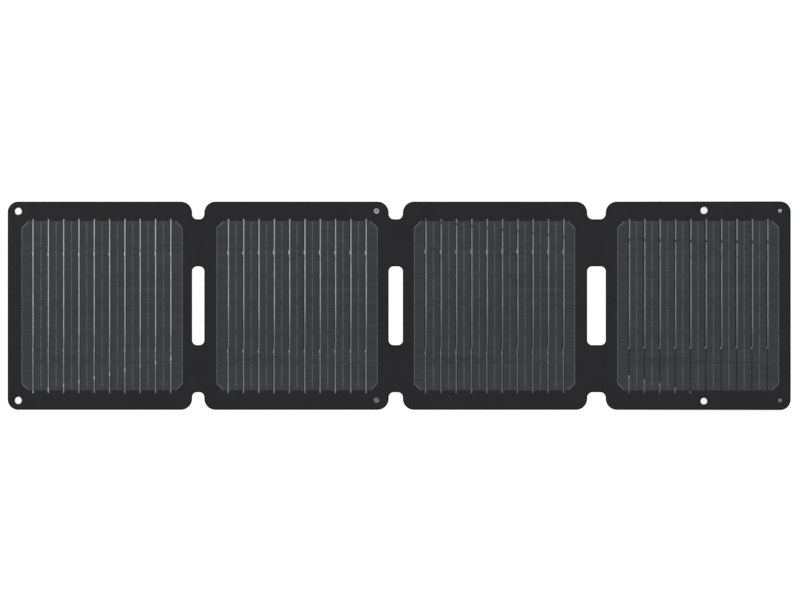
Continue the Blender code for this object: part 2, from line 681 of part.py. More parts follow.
def add_usb_a_socket(body):
    """A rectangular shell, open at the front, with a tongue in its upper half."""
    low = (SOCKET_FACE - USB_A["depth"], PORT_Y - USB_A["half_y"], PORT_Z - USB_A["half_z"])
    high = (SOCKET_FACE, PORT_Y + USB_A["half_y"], PORT_Z + USB_A["half_z"])
    shell = place(block("usb_a_socket", low, high, METAL), body)
    wall = USB_A["wall"]
    mouth = block(
        "usb_a_mouth", (low[0] + USB_A_BACK, low[1] + wall, low[2] + wall),
        (high[0] + USB_A_BACK, high[1] - wall, high[2] - wall), None, CUTTERS,
    )
    combine(shell, mouth, "DIFFERENCE", body)
    tongue_low = (low[0] + USB_A_BACK / 2, PORT_Y - USB_A_TONGUE_HALF_Y, PORT_Z + USB_A_TONGUE_Z[0])
    tongue_high = (SOCKET_FACE - USB_A_TONGUE_DEPTH, PORT_Y + USB_A_TONGUE_HALF_Y, PORT_Z + USB_A_TONGUE_Z[1])
    tongue = block("usb_a_tongue", tongue_low, tongue_high, None, CUTTERS)
    combine(shell, tongue, "UNION", body)


def stadium(half_width, half_height, centre):
    """A slot shape with round ends, long in y, in the (-z, y) plane of the end wall."""
    straight = half_width - half_height
    upper = arc((0, straight), half_height, 0, 180, CORNER_STEPS)
    lower = arc((0, -straight), half_height, 180, 360, CORNER_STEPS)
    return [(centre[0] + x, centre[1] + y) for x, y in upper + lower]


def add_usb_c_socket(body):
    """A shell with round ends and a thin tongue in the middle, drawn flat and turned to face the end wall."""
    centre = (-PORT_Z, -PORT_Y)
    depths = (SOCKET_FACE - USB_C["depth"], SOCKET_FACE)
    half_y, half_z, wall = USB_C["half_y"], USB_C["half_z"], USB_C["wall"]
    shell = plate("usb_c_socket", stadium(half_y, half_z, centre), [], depths, METAL)
    mouth_outline = stadium(half_y - wall, half_z - wall, centre)
    mouth_levels = (depths[0] + USB_C_BACK, depths[1] + USB_C_BACK)
    mouth = plate("usb_c_mouth", mouth_outline, [], mouth_levels, None, CUTTERS)
    half_x = USB_C_TONGUE_HALF_Z
    tongue_low = (centre[0] - half_x, centre[1] - USB_C_TONGUE_HALF_Y, depths[0] + USB_C_BACK / 2)
    tongue_high = (centre[0] + half_x, centre[1] + USB_C_TONGUE_HALF_Y, depths[1] - USB_C_TONGUE_DEPTH)
    tongue = block("usb_c_tongue", tongue_low, tongue_high, None, CUTTERS)
    for thing in (shell, mouth, tongue):
        thing.data.transform(Matrix.Rotation(pi / 2, 4, "Y"))
    place(shell, body)
    combine(shell, mouth, "DIFFERENCE", body)
    combine(shell, tongue, "UNION", body)


def add_board_parts(body):
    """The coil and the capacitor on top of the board, and the light that shows through the cover's floor."""
    x, y = INDUCTOR_PLACE
    side = INDUCTOR_HALF_SIDE
    base = BOARD[1] + LAYER_GAP
    high = (x + side, y + side, base + INDUCTOR_HEIGHT)
    place(block("inductor", (x - side, y - side, base), high, COPPER, bevel=INDUCTOR_BEVEL), body)
    levels = (base, base + CAPACITOR_HEIGHT)
    place(cylinder("capacitor", CAPACITOR_PLACE, CAPACITOR_RADIUS, levels, METAL, steps=CIRCLE_STEPS), body)
    levels = (-BOX_DEPTH + LAYER_GAP, BOARD[0] - LAYER_GAP)
    place(cylinder("status_light", LIGHT_PLACE, LIGHT_RADIUS, levels, LENS), body)


def add_flap_anchor(body):
    """The fixed middle of the rubber strip, held by a barbed foot through the end wall."""
    low = (FLAP_X[0], -ANCHOR_HALF_Y, FLAP_Z[0])
    anchor = block("flap_anchor", low, (FLAP_X[1], ANCHOR_HALF_Y, FLAP_Z[1]), RUBBER)
    place(anchor, body)
    foot, barb = ANCHOR_FOOT, ANCHOR_BARB
    stem_x = ((BARB_X[0] + BARB_X[1]) / 2, FLAP_X[0] + FLAP_PLUG_ROOT)
    stem_low = (stem_x[0], -foot, PORT_Z - foot)
    stem = block("anchor_stem", stem_low, (stem_x[1], foot, PORT_Z + foot), None, CUTTERS)
    head_low = (BARB_X[0], -barb, PORT_Z - barb)
    head = block("anchor_barb", head_low, (BARB_X[1], barb, PORT_Z + barb), None, CUTTERS)
    combine(anchor, stem, "UNION", body)
    combine(anchor, head, "UNION", body)


def add_port_flap(name, sign, plug):
    """A rubber flap on one side of the anchor, with a plug that reaches into the mouth of its socket."""
    plug_half_y, plug_half_z = plug
    hinge = (FLAP_X[1], sign * FLAP_HINGE_Y, PORT_Z)
    frame = bpy.data.objects.new(name + "_frame", None)
    frame.empty_display_size = 5 * MM
    PARTS.objects.link(frame)
    place(frame, BODIES["panel_4"], hinge)
    body = (frame, -Vector(hinge))
    ys = sorted((sign * FLAP_NEAR, sign * FLAP_FAR))
    low = (FLAP_X[0], ys[0], FLAP_Z[0])
    flap = block(name, low, (FLAP_X[1], ys[1], FLAP_Z[1]), RUBBER)
    place(flap, body)
    y = sign * PORT_Y
    plug_low = (FLAP_PLUG_FACE, y - plug_half_y, PORT_Z - plug_half_z)
    plug_high = (FLAP_X[0] + FLAP_PLUG_ROOT, y + plug_half_y, PORT_Z + plug_half_z)
    combine(flap, block(name + "_plug", plug_low, plug_high, None, CUTTERS), "UNION", body)


def add_output_box(body):
    add_box_base(body)
    gasket_hole = box_outline(GASKET_INSETS[1])
    place(plate("box_gasket", box_outline(GASKET_INSETS[0]), [gasket_hole], GASKET, RUBBER), body)
    add_box_cover(body)
    add_screws(body)
    add_circuit_board(body)
    add_usb_a_socket(body)
    add_usb_c_socket(body)
    add_board_parts(body)
    add_flap_anchor(body)
    add_port_flap("usb_a_flap", 1, USB_A_PLUG)
    add_port_flap("usb_c_flap", -1, USB_C_PLUG)


# The charger

def crease_x(gap, side):
    """Where a gap's left or right crease lies in the row."""
    if side == "left":
        return LEFTS[gap] + PANEL_WIDTH + CREASES[gap][0]
    return LEFTS[gap + 1] - CREASES[gap][1]


def gap_centre(gap):
    return LEFTS[gap + 1] - GAPS[gap] / 2


BODIES = {
    "panel_1": add_body("panel_1", crease_x(0, "left"), LEFTS[0]),
    "web_1": add_body("web_1", crease_x(0, "right"), gap_centre(0)),
    "panel_2": add_body("panel_2", crease_x(1, "left"), LEFTS[1]),
    "web_2": add_body("web_2", crease_x(1, "right"), gap_centre(1)),
    "panel_3": add_body("panel_3", LEFTS[2], LEFTS[2]),
    "web_3": add_body("web_3", crease_x(2, "left"), gap_centre(2)),
    "panel_4": add_body("panel_4", crease_x(2, "right"), LEFTS[3], TILT),
}

for panel_number in range(1, 5):
    add_panel(panel_number, BODIES[f"panel_{panel_number}"])
for gap_index in range(3):
    add_webs(gap_index, BODIES[f"web_{gap_index + 1}"])
add_fastener_pair("eyelet_1", EYELET_PROFILE, True, EYELET_PLACES[1], BODIES["panel_1"])
add_fastener_pair("eyelet_4", EYELET_PROFILE, True, EYELET_PLACES[4], BODIES["panel_4"])
add_fastener_pair("snap_socket", SOCKET_PROFILE, True, SOCKET_PLACE, BODIES["panel_2"])
add_fastener_pair("snap_stud", STUD_PROFILE, False, STUD_PLACE, BODIES["panel_4"])
add_output_box(BODIES["panel_4"])
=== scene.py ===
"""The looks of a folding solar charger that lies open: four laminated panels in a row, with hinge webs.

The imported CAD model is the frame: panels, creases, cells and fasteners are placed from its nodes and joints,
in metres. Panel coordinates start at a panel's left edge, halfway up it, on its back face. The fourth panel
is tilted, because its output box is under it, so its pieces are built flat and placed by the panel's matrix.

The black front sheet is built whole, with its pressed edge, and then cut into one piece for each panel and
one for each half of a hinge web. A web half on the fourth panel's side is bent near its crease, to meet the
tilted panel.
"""

import json
from math import cos, pi, radians, sin

import bmesh
import bpy
from mathutils import Matrix, Vector

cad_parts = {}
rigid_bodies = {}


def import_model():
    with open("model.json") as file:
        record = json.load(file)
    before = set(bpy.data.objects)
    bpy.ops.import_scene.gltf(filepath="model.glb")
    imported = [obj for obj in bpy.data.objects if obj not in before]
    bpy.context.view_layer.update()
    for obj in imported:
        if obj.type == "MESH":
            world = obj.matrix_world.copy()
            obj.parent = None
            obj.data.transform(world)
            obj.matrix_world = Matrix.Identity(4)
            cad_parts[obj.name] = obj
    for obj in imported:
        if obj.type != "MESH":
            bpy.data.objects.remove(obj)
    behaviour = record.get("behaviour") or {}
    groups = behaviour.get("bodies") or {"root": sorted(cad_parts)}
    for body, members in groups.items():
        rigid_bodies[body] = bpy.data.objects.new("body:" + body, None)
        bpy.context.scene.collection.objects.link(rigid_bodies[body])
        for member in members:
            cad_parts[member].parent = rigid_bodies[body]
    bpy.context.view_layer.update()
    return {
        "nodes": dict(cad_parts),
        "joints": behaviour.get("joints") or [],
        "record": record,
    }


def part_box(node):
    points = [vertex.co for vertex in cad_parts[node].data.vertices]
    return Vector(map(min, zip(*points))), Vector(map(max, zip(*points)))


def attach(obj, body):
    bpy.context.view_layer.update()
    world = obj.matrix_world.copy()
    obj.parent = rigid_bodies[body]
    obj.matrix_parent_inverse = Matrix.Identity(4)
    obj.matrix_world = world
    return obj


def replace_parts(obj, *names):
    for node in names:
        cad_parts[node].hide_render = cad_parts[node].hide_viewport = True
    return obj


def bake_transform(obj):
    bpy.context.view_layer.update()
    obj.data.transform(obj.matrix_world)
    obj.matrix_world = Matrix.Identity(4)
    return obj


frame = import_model()

MM = 0.001

# Outline of the front sheet
OUTER_CORNER = 11.7 * MM
INNER_CORNER = 12.5 * MM
NOTCH_FILLETS = (5.6 * MM, 5.9 * MM, 6.2 * MM)
NOTCH_DEPTH = 19.75 * MM
SLOT_HALF = 44.1 * MM
SLOT_FILLET = 5.5 * MM
ARC_STEPS = 14
EYELET_HOLE = 4.1 * MM
SNAP_HOLE = 2.1 * MM
HOLE_STEPS = 40
SEAM = 0.02 * MM
BEND_REACH = 2.0 * MM
BEND_STEPS = 8

# Material slots of the front sheet, the back and the cells
SKIN, PRESSED_EDGE, WOVEN = 0, 1, 2
SILICON, CELL_SIDE, CELL_CUT, CELL_CORNER = 0, 1, 2, 3

# Rim profiles: how far in from the outline, how high above the panel's back, the slot of the face above
SHEET_RIM = (
    (0.0, 1.40 * MM, PRESSED_EDGE),
    (0.0, 1.70 * MM, PRESSED_EDGE),
    (0.07 * MM, 1.83 * MM, PRESSED_EDGE),
    (0.26 * MM, 1.91 * MM, PRESSED_EDGE),
    (1.45 * MM, 1.94 * MM, SKIN),
    (1.80 * MM, 2.00 * MM, SKIN),
    (2.20 * MM, 2.00 * MM, SKIN),
)
TRAY_RIM = ((0.0, 0.52 * MM, PRESSED_EDGE), (0.0, 1.38 * MM, PRESSED_EDGE))
BACK_RIM = (
    (6.4 * MM, 0.0, WOVEN),
    (6.0 * MM, 0.02 * MM, PRESSED_EDGE),
    (5.6 * MM, 0.12 * MM, PRESSED_EDGE),
    (0.30 * MM, 0.12 * MM, PRESSED_EDGE),
    (0.08 * MM, 0.19 * MM, PRESSED_EDGE),
    (0.0, 0.32 * MM, PRESSED_EDGE),
    (0.0, 0.50 * MM, WOVEN),
)
TRAY_INSET = 5.7 * MM
TRAY_HALF_HEIGHT = 100.3 * MM
TRAY_CORNER = 4.3 * MM

# Cells, ribbons and solder joints
STRIP_COUNT = 6
STRIP_GAP = 0.5 * MM
CELL_CHAMFER = 7.4 * MM
CELL_MARGIN = 0.85 * MM
CELL_RIM = (
    (0.0, 1.97 * MM, CELL_SIDE),
    (0.0, 2.03 * MM, CELL_SIDE),
    (0.06 * MM, 2.05 * MM, CELL_SIDE),
    (0.50 * MM, 2.05 * MM, SILICON),
    (0.80 * MM, 2.05 * MM, SILICON),
)
RIBBON_COUNT = 10
RIBBON_PITCH = 17.16 * MM
RIBBON_WIDTH = 1.22 * MM
RIBBON_BASE = 2.04 * MM
RIBBON_TOP = 2.13 * MM
RIBBON_OVER_TOP = 2.3 * MM
RIBBON_UNDER_BOTTOM = 3.1 * MM
RIBBON_LIFT = 0.05 * MM
STEP_REACH = 1.5 * MM
SOLDER_HALF_WIDTH = 0.75 * MM
SOLDER_HEIGHT = 0.13 * MM
SOLDER_SHIFT = 0.30 * MM
SOLDER_DRIFT = 0.15 * MM
FINGER_PITCH = 1.3 * MM
DOT_PITCH = 2.24 * MM
PAD_HALF_WIDTH = 0.44 * MM
# Half the width of the painted shade along each side of a ribbon
RIBBON_SHADE_HALF_WIDTH = 1.45 * MM
TACK_ROW = -47.5 * MM

# For each panel, painted reflection on its ribbons: how bright they are, how much duller they get, where that
# starts and is complete, and how much of it is gone again at the lower end, between the two heights that
# follow
RIBBON_REFLECTION_TONES = {
    1: (0.46, 0.48, -15 * MM, -50 * MM, 0.0),
    2: (0.42, 0.56, -5 * MM, -28 * MM, 0.36),
    3: (0.275, 0.43, -5 * MM, -30 * MM, 0.2),
    4: (0.26, 0.50, -8 * MM, -38 * MM, 0.0),
}
REFLECTION_REGAINED_BETWEEN = (-60 * MM, -72 * MM)

# For each panel, rows of painted reflection across its ribbons, painted highlights where brighter and painted
# dark
# reflection where darker: the row's slope and its height at the panel's left edge, how far from it the mark
# starts and is complete, how strong it is, and how bright compared with the ribbon
RIBBON_REFLECTION_MARKS = {
    1: ((0.25, -105.0 * MM, 2.4 * MM, 1.4 * MM, 1.0, 1.15),),
    2: ((0.0, 52.7 * MM, 1.6 * MM, 0.8 * MM, 0.5, 0.35),),
    3: (
        (0.0, 52.7 * MM, 1.6 * MM, 0.8 * MM, 0.5, 0.35),
        (-0.114, 98.1 * MM, 1.9 * MM, 1.0 * MM, 0.8, 0.22),
    ),
    4: (
        (-0.018, 74.2 * MM, 2.0 * MM, 1.1 * MM, 1.0, 0.22),
        (0.0, 54.0 * MM, 1.6 * MM, 0.8 * MM, 0.5, 0.22),
    ),
}

# The slope, and the height at the panel's left edge, of the line below which the fourth panel's ribbons lose
# their painted dark reflection, and where they have a painted glint under it
DARK_UNTIL = (-0.26, -71.0 * MM)
GLINT_DEPTH = 2.0 * MM
GLINT_HALF_LENGTH = 1.6 * MM

# How far to the right the ribbons lie, above the tack row and below it
RIBBON_DRIFT = {
    1: (-0.10 * MM, -0.20 * MM),
    2: (0.30 * MM, 0.05 * MM),
    3: (0.35 * MM, -0.15 * MM),
    4: (0.65 * MM, 0.0),
}

# For each panel, rows of solder joints: height on the panel, half a joint's length, and bright or dull painted
# glint
GLINT_SOLDER, DULL_SOLDER = 0, 1
SOLDER_ROWS = {
    1: ((57.7 * MM, 2.3 * MM, GLINT_SOLDER), (-50.0 * MM, 1.4 * MM, DULL_SOLDER)),
    2: ((59.2 * MM, 2.3 * MM, GLINT_SOLDER), (-51.5 * MM, 1.6 * MM, DULL_SOLDER)),
    3: ((60.3 * MM, 2.1 * MM, GLINT_SOLDER), (-52.7 * MM, 1.4 * MM, DULL_SOLDER)),
    4: ((-47.2 * MM, 1.0 * MM, DULL_SOLDER),),
}


# Places read from the frame

def joint_between(first, second):
    bodies = {first, second}
    return next(joint for joint in frame["joints"] if {joint["parent"], joint["child"]} == bodies)


low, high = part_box("back_cover_3")
PANEL_WIDTH = high.x - low.x
HALF_HEIGHT = high.y
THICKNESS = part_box("front_film_3")[1].z
CREASE_4 = joint_between("web_3", "panel_4")["pos_m"][0]
TILT = radians(90 - joint_between("web_3", "panel_4")["range_deg"][1])
TO_CREASE_4 = Matrix.Translation((CREASE_4, 0, THICKNESS))
TILTED = TO_CREASE_4 @ Matrix.Rotation(-TILT, 4, "Y") @ TO_CREASE_4.inverted()
BODY_OF = {
    node: body for body, nodes in frame["record"]["behaviour"]["bodies"].items() for node in nodes
}


def flat_box(node):
    """The node's lowest and highest corners with the fourth panel laid flat."""
    level = TILTED.inverted() if BODY_OF[node] == "panel_4" else Matrix.Identity(4)
    points = [level @ vertex.co for vertex in frame["nodes"][node].data.vertices]
    low = Vector([min(point[axis] for point in points) for axis in range(3)])
    high = Vector([max(point[axis] for point in points) for axis in range(3)])
    return low, high


LEFTS = [flat_box(f"back_cover_{number}")[0].x for number in range(1, 5)]
NOTCH_FLOOR = HALF_HEIGHT - NOTCH_DEPTH
FLAT_CENTRES = {
    node: (flat_box(node)[0] + flat_box(node)[1]) / 2
    for node in frame["nodes"] if node.startswith(("eyelet", "snap"))
}


def panel_matrix(number):
    shift = Matrix.Translation((LEFTS[number - 1], 0, 0))
    return TILTED @ shift if number == 4 else shift


# Numbers that vary over a surface, built from Math nodes

class Field:
    def __init__(self, tree, socket):
        self.tree = tree
        self.socket = socket

    def math(self, operation, *others):
        node = self.tree.nodes.new("ShaderNodeMath")
        node.operation = operation
        for place, item in zip(node.inputs, (self, *others)):
            if isinstance(item, Field):
                self.tree.links.new(item.socket, place)
            else:
                place.default_value = item
        return Field(self.tree, node.outputs[0])

    def __add__(self, other):
        return self.math("ADD", other)

    def __sub__(self, other):
        return self.math("SUBTRACT", other)

    def __mul__(self, other):
        return self.math("MULTIPLY", other)

    def __truediv__(self, other):
        return self.math("DIVIDE", other)

    def fraction(self):
        return self.math("FRACT")

    def size(self):
        return self.math("ABSOLUTE")

    def below(self, limit):
        return self.math("LESS_THAN", limit)

    def above(self, limit):
        return self.math("GREATER_THAN", limit)

    def ramp(self, start, end, low=0.0, high=1.0):
        """Runs smoothly from low to high as this number goes from start to end."""
        node = self.tree.nodes.new("ShaderNodeMapRange")
        node.interpolation_type = "SMOOTHSTEP"
        self.tree.links.new(self.socket, node.inputs["Value"])
        for name, value in zip(("From Min", "From Max", "To Min", "To Max"), (start, end, low, high)):
            node.inputs[name].default_value = value
        return Field(self.tree, node.outputs["Result"])


class Finish:
    """A Principled material under construction."""

    def __init__(self, name, colour, roughness, metallic=0.0, **settings):
        self.material = bpy.data.materials.new(name)
        self.material.use_nodes = True
        self.tree = self.material.node_tree
        self.shader = self.tree.nodes["Principled BSDF"]
        self.colour = colour
        self.shader.inputs["Base Color"].default_value = (*colour, 1.0)
        self.shader.inputs["Roughness"].default_value = roughness
        self.shader.inputs["Metallic"].default_value = metallic
        for setting, value in settings.items():
            self.shader.inputs[setting.replace("_", " ")].default_value = value
        self.coordinates = self.tree.nodes.new("ShaderNodeTexCoord").outputs["Object"]

    def axes(self):
        """The object's own x, y and z over the surface."""
        node = self.tree.nodes.new("ShaderNodeSeparateXYZ")
        self.tree.links.new(self.coordinates, node.inputs[0])
        return [Field(self.tree, output) for output in node.outputs]

    def noise(self, grain, detail=2.0, stretch=(1, 1, 1)):
        """Soft noise from 0 to 1, with blotches about as wide as grain."""
        mapping = self.tree.nodes.new("ShaderNodeMapping")
        mapping.inputs["Scale"].default_value = stretch
        self.tree.links.new(self.coordinates, mapping.inputs["Vector"])
        node = self.tree.nodes.new("ShaderNodeTexNoise")
        node.inputs["Scale"].default_value = 1 / grain
        node.inputs["Detail"].default_value = detail
        self.tree.links.new(mapping.outputs["Vector"], node.inputs["Vector"])
        return Field(self.tree, node.outputs["Fac"])

    def blend_colour(self, factor, other, under=None):
        """Mix another colour over the one so far, by a field from 0 to 1."""
        node = self.tree.nodes.new("ShaderNodeMix")
        node.data_type = "RGBA"
        node.inputs["A"].default_value = (*self.colour, 1.0)
        node.inputs["B"].default_value = (*other, 1.0)
        if under is not None:
            self.tree.links.new(under, node.inputs["A"])
        self.tree.links.new(factor.socket, node.inputs["Factor"])
        self.tree.links.new(node.outputs["Result"], self.shader.inputs["Base Color"])
        return node.outputs["Result"]

    def roughness(self, field):
        self.tree.links.new(field.socket, self.shader.inputs["Roughness"])

    def bump(self, height, depth, strength=1.0):
        """Relief of that depth in metres where the height goes from 0 to 1."""
        node = self.tree.nodes.new("ShaderNodeBump")
        node.inputs["Strength"].default_value = strength
        node.inputs["Distance"].default_value = depth
        self.tree.links.new(height.socket, node.inputs["Height"])
        self.tree.links.new(node.outputs["Normal"], self.shader.inputs["Normal"])


def scaled(colour, factor):
    return tuple(channel * factor for channel in colour)


# Materials

def skin_material():
    """Matte black laminate with a fine pebbled grain and faint, broad differences in gloss."""
    finish = Finish("black_laminate", (0.0084, 0.0088, 0.0099), 0.5, Specular_IOR_Level=0.17)
    grain = finish.noise(1.1 * MM, 3.0)
    cloud = finish.noise(38 * MM, 3.0)
    under = finish.blend_colour(grain.ramp(0.35, 0.75), scaled(finish.colour, 1.35))
    finish.blend_colour(cloud.ramp(0.4, 0.8, 0.0, 0.5), scaled(finish.colour, 0.85), under)
    finish.roughness(cloud.ramp(0.3, 0.7, 0.44, 0.56))
    finish.bump(grain, 0.05 * MM, 0.35)
    return finish.material


def pressed_edge_shade_material():
    """The pressed edge: a little smoother than the skin, and darker, which is painted shade along the edges.
    """
    # The dark colour of the pressed edge is painted shade.
    finish = Finish("pressed_edge_painted_shade", (0.0030, 0.0032, 0.0035), 0.6, Specular_IOR_Level=0.10)
    grain = finish.noise(0.7 * MM, 2.0)
    finish.blend_colour(grain.ramp(0.4, 0.8), scaled(finish.colour, 1.6))
    finish.bump(grain, 0.04 * MM, 0.4)
    return finish.material


def woven_material():
    """Plain-weave polyester with a thin coating: warp over weft in turn, and slubs in the yarn."""
    finish = Finish("woven_polyester", (0.0085, 0.0089, 0.0098), 0.82, Specular_IOR_Level=0.2)
    x, y, _ = finish.axes()
    yarn = 0.8 * MM
    across, along = x / yarn, y / yarn
    turn = (across.math("FLOOR") + along.math("FLOOR")) * 0.5
    over = turn.fraction().above(0.25)
    warp = (across.fraction() - 0.5).size().ramp(0.5, 0.1)
    weft = (along.fraction() - 0.5).size().ramp(0.5, 0.1)
    height = over * warp + (over * -1.0 + 1.0) * weft
    slub = finish.noise(5 * MM, 2.0, (1, 7, 1))
    cloud = finish.noise(60 * MM, 2.0)
    under = finish.blend_colour(height, scaled(finish.colour, 2.0))
    under = finish.blend_colour(slub.ramp(0.45, 0.8, 0.0, 0.5), scaled(finish.colour, 2.6), under)
    finish.blend_colour(cloud.ramp(0.45, 0.75, 0.0, 0.35), scaled(finish.colour, 0.6), under)
    finish.bump(height + slub * 0.4, 0.12 * MM, 0.8)
    return finish.material


def silicon_material(number, cell_low, cell_high):
    """Dark grey monocrystalline silicon with fine fingers, a dotted pad line between each two ribbons, and a
    dark band of painted shade beside the ribbons. On the fourth panel that painted shade ends at the tack row."""
    finish = Finish(f"silicon_{number}", (0.0230, 0.0250, 0.0302), 0.42, Specular_IOR_Level=0.33)
    x, y, _ = finish.axes()
    first_edge = (cell_low.x + cell_high.x) / 2 - (RIBBON_COUNT / 2) * RIBBON_PITCH
    place = ((x - first_edge) / RIBBON_PITCH).fraction()
    from_middle = (place - 0.5).size() * RIBBON_PITCH
    from_pad_line = from_middle * -1.0 + RIBBON_PITCH / 2
    strip = (cell_high.y - cell_low.y + STRIP_GAP) / STRIP_COUNT
    down_strip = ((y * -1.0 + cell_high.y) / strip).fraction()
    dotted = ((y / DOT_PITCH).fraction() - 0.5).size().below(0.15)
    dotted_part = down_strip.below(0.8)
    pad_shade = dotted_part * dotted + (dotted_part * -1.0 + 1.0) * 0.12
    pads = from_pad_line.below(PAD_HALF_WIDTH) * pad_shade
    inside = (x - cell_low.x).above(RIBBON_PITCH) * (x - cell_high.x + RIBBON_PITCH).below(0.0)
    fingers = ((y / FINGER_PITCH).fraction() - 0.5).size().ramp(0.36, 0.5)
    tone = finish.noise(24 * MM, 2.0, (1, 3, 1))
    strip_tone = finish.noise(9 * MM, 0.0, (0.02, 1, 1))
    band = finish.noise(3.1 * MM, 1.0, (0.03, 1, 1))
    under = finish.blend_colour(tone.ramp(0.3, 0.7, 0.0, 0.35), scaled(finish.colour, 1.12))
    under = finish.blend_colour(strip_tone.ramp(0.3, 0.7, 0.0, 0.4), scaled(finish.colour, 0.9), under)
    under = finish.blend_colour(band.ramp(0.42, 0.6, 0.0, 0.7), scaled(finish.colour, 0.72), under)
    under = finish.blend_colour(fingers * 0.3, scaled(finish.colour, 1.7), under)
    under = finish.blend_colour(pads * inside, (0.190, 0.197, 0.208), under)
    # Painted shade: a dark band along both sides of each ribbon.
    shade_beside_ribbon = from_middle.below(RIBBON_SHADE_HALF_WIDTH)
    if number == 4:
        shade_beside_ribbon *= y.above(TACK_ROW)
    finish.blend_colour(shade_beside_ribbon, (0.0010, 0.0012, 0.0018), under)
    finish.roughness(tone.ramp(0.2, 0.8, 0.38, 0.46))
    finish.bump(fingers, 0.01 * MM, 0.5)
    return finish.material


def cell_rim_light_material(name, colour):
    """The bare rim of a cell strip, where no fingers are printed. Its colour is painted light: a painted
    highlight in the two lighter colours and painted shade in the dark one.
    """
    finish = Finish(name, colour, 0.35, Specular_IOR_Level=0.5)
    speckle = finish.noise(2.4 * MM, 2.0)
    finish.blend_colour(speckle.ramp(0.3, 0.7), scaled(colour, 0.72))
    finish.bump(speckle, 0.01 * MM, 0.3)
    return finish.material


def ribbon_material(number, brightness, dull, dull_from, dull_to, regained):
    """Tinned copper wire, drawn along its length. Its brightness on each panel, and its darkening towards the
    lower end, where part of that is taken back again, are painted reflection. The first panel's wires have a
    slanting row of painted highlights, and the others' have short rows of painted dark reflection. The
    fourth's are painted dark, as dark reflection, from the tack row down to a slanting line, with a painted
    glint just under it."""
    finish = Finish(f"tinned_ribbon_{number}", scaled((0.97, 0.985, 1.04), brightness), 0.34, 1.0)
    x, y, _ = finish.axes()
    drawn = finish.noise(1.6 * MM, 2.0, (3, 0.06, 1))
    patch = finish.noise(34 * MM, 1.0, (0.35, 1, 1))
    # Painted reflection: darker towards the lower end, and part of that brighter again lower still.
    painted_fade = y.ramp(dull_from, dull_to, 0.0, dull) * y.ramp(*REFLECTION_REGAINED_BETWEEN, 1.0, 1.0 - regained)
    under = finish.blend_colour(drawn.ramp(0.35, 0.7, 0.0, 0.5), scaled(finish.colour, 0.72))
    under = finish.blend_colour(patch.ramp(0.45, 0.7, 0.0, 0.4), scaled(finish.colour, 0.75), under)
    under = finish.blend_colour(painted_fade, scaled(finish.colour, 0.22), under)
    # Painted reflection on the fourth panel: dark from the tack row down to a slanting line, with a painted
    # glint just under that line.
    if number == 4:
        slope, height = DARK_UNTIL
        over_line = y - x * slope - height
        dark = y.below(TACK_ROW) * over_line.above(0.0)
        glint = (over_line + GLINT_DEPTH).size().below(GLINT_HALF_LENGTH)
        under = finish.blend_colour(dark, scaled(finish.colour, 0.12), under)
        under = finish.blend_colour(glint, scaled(finish.colour, 0.9), under)
    # Rows of painted reflection: painted highlights where brighter than the ribbon, painted dark reflection
    # where darker.
    for slope, height, start, complete, strength, brighter in RIBBON_REFLECTION_MARKS[number]:
        reflection_mark = (y - x * slope - height).size().ramp(start, complete, 0.0, strength)
        under = finish.blend_colour(reflection_mark, scaled(finish.colour, brighter), under)
    finish.roughness(drawn.ramp(0.2, 0.8, 0.28, 0.42))
    finish.bump(drawn, 0.02 * MM, 0.3)
    return finish.material


def nickel_material(name, colour, roughness):
    """Plated metal with fine handling scratches."""
    finish = Finish(name, colour, roughness, 1.0)
    scratch = finish.noise(0.9 * MM, 3.0, (1, 0.15, 1))
    haze = finish.noise(3.0 * MM, 2.0)
    finish.blend_colour(haze.ramp(0.45, 0.8, 0.0, 0.4), scaled(colour, 0.8))
    finish.roughness(scratch.ramp(0.3, 0.7, roughness - 0.06, roughness + 0.1))
    finish.bump(scratch, 0.01 * MM, 0.3)
    return finish.material


def eyelet_material(name, colour, shade_all_round):
    """Nickel with painted shade on its left side, and painted shade all round as strong as the last argument
    says.
    """
    finish = Finish(name, colour, 0.3, 1.0)
    x, y, _ = finish.axes()
    scratch = finish.noise(0.9 * MM, 3.0, (1, 0.15, 1))
    # Painted shade: darker towards the left, and all round by the last argument.
    shade_leftwards = (y * 0.45 - x * 0.9).ramp(0.5 * MM, 3.6 * MM, shade_all_round, 1.0)
    finish.blend_colour(shade_leftwards, scaled(colour, 0.1))
    finish.roughness(scratch.ramp(0.3, 0.7, 0.24, 0.38))
    finish.bump(scratch, 0.01 * MM, 0.3)
    return finish.material


def moulded_material(name, colour, roughness, grain, depth, level=0.4):
    """Moulded plastic or rubber with a spark-eroded texture and slight wear in its gloss."""
    finish = Finish(name, colour, roughness, Specular_IOR_Level=level)
    texture = finish.noise(grain, 3.0)
    cloud = finish.noise(22 * MM, 2.0)
    under = finish.blend_colour(texture.ramp(0.35, 0.75), scaled(colour, 1.4))
    finish.blend_colour(cloud.ramp(0.45, 0.8, 0.0, 0.5), scaled(colour, 0.75), under)
    finish.roughness(cloud.ramp(0.3, 0.7, roughness - 0.06, roughness + 0.06))
    finish.bump(texture, depth, 0.6)
    return finish.material


def board_material():
    """Green solder mask over copper tracks."""
    finish = Finish("solder_mask", (0.006, 0.055, 0.022), 0.35)
    x, y, _ = finish.axes()
    wobble = finish.noise(14 * MM, 0.0)
    tracks = ((x / (2.4 * MM) + wobble * 6.0).fraction() - 0.5).size().below(0.12)
    crossing = ((y / (3.1 * MM) + wobble * 5.0).fraction() - 0.5).size().below(0.08)
    under = finish.blend_colour(tracks, (0.02, 0.12, 0.05))
    finish.blend_colour(crossing, (0.025, 0.13, 0.055), under)
    finish.bump(tracks, 0.03 * MM, 0.5)
    return finish.material


SHEET_FINISHES = [skin_material(), pressed_edge_shade_material(), woven_material()]
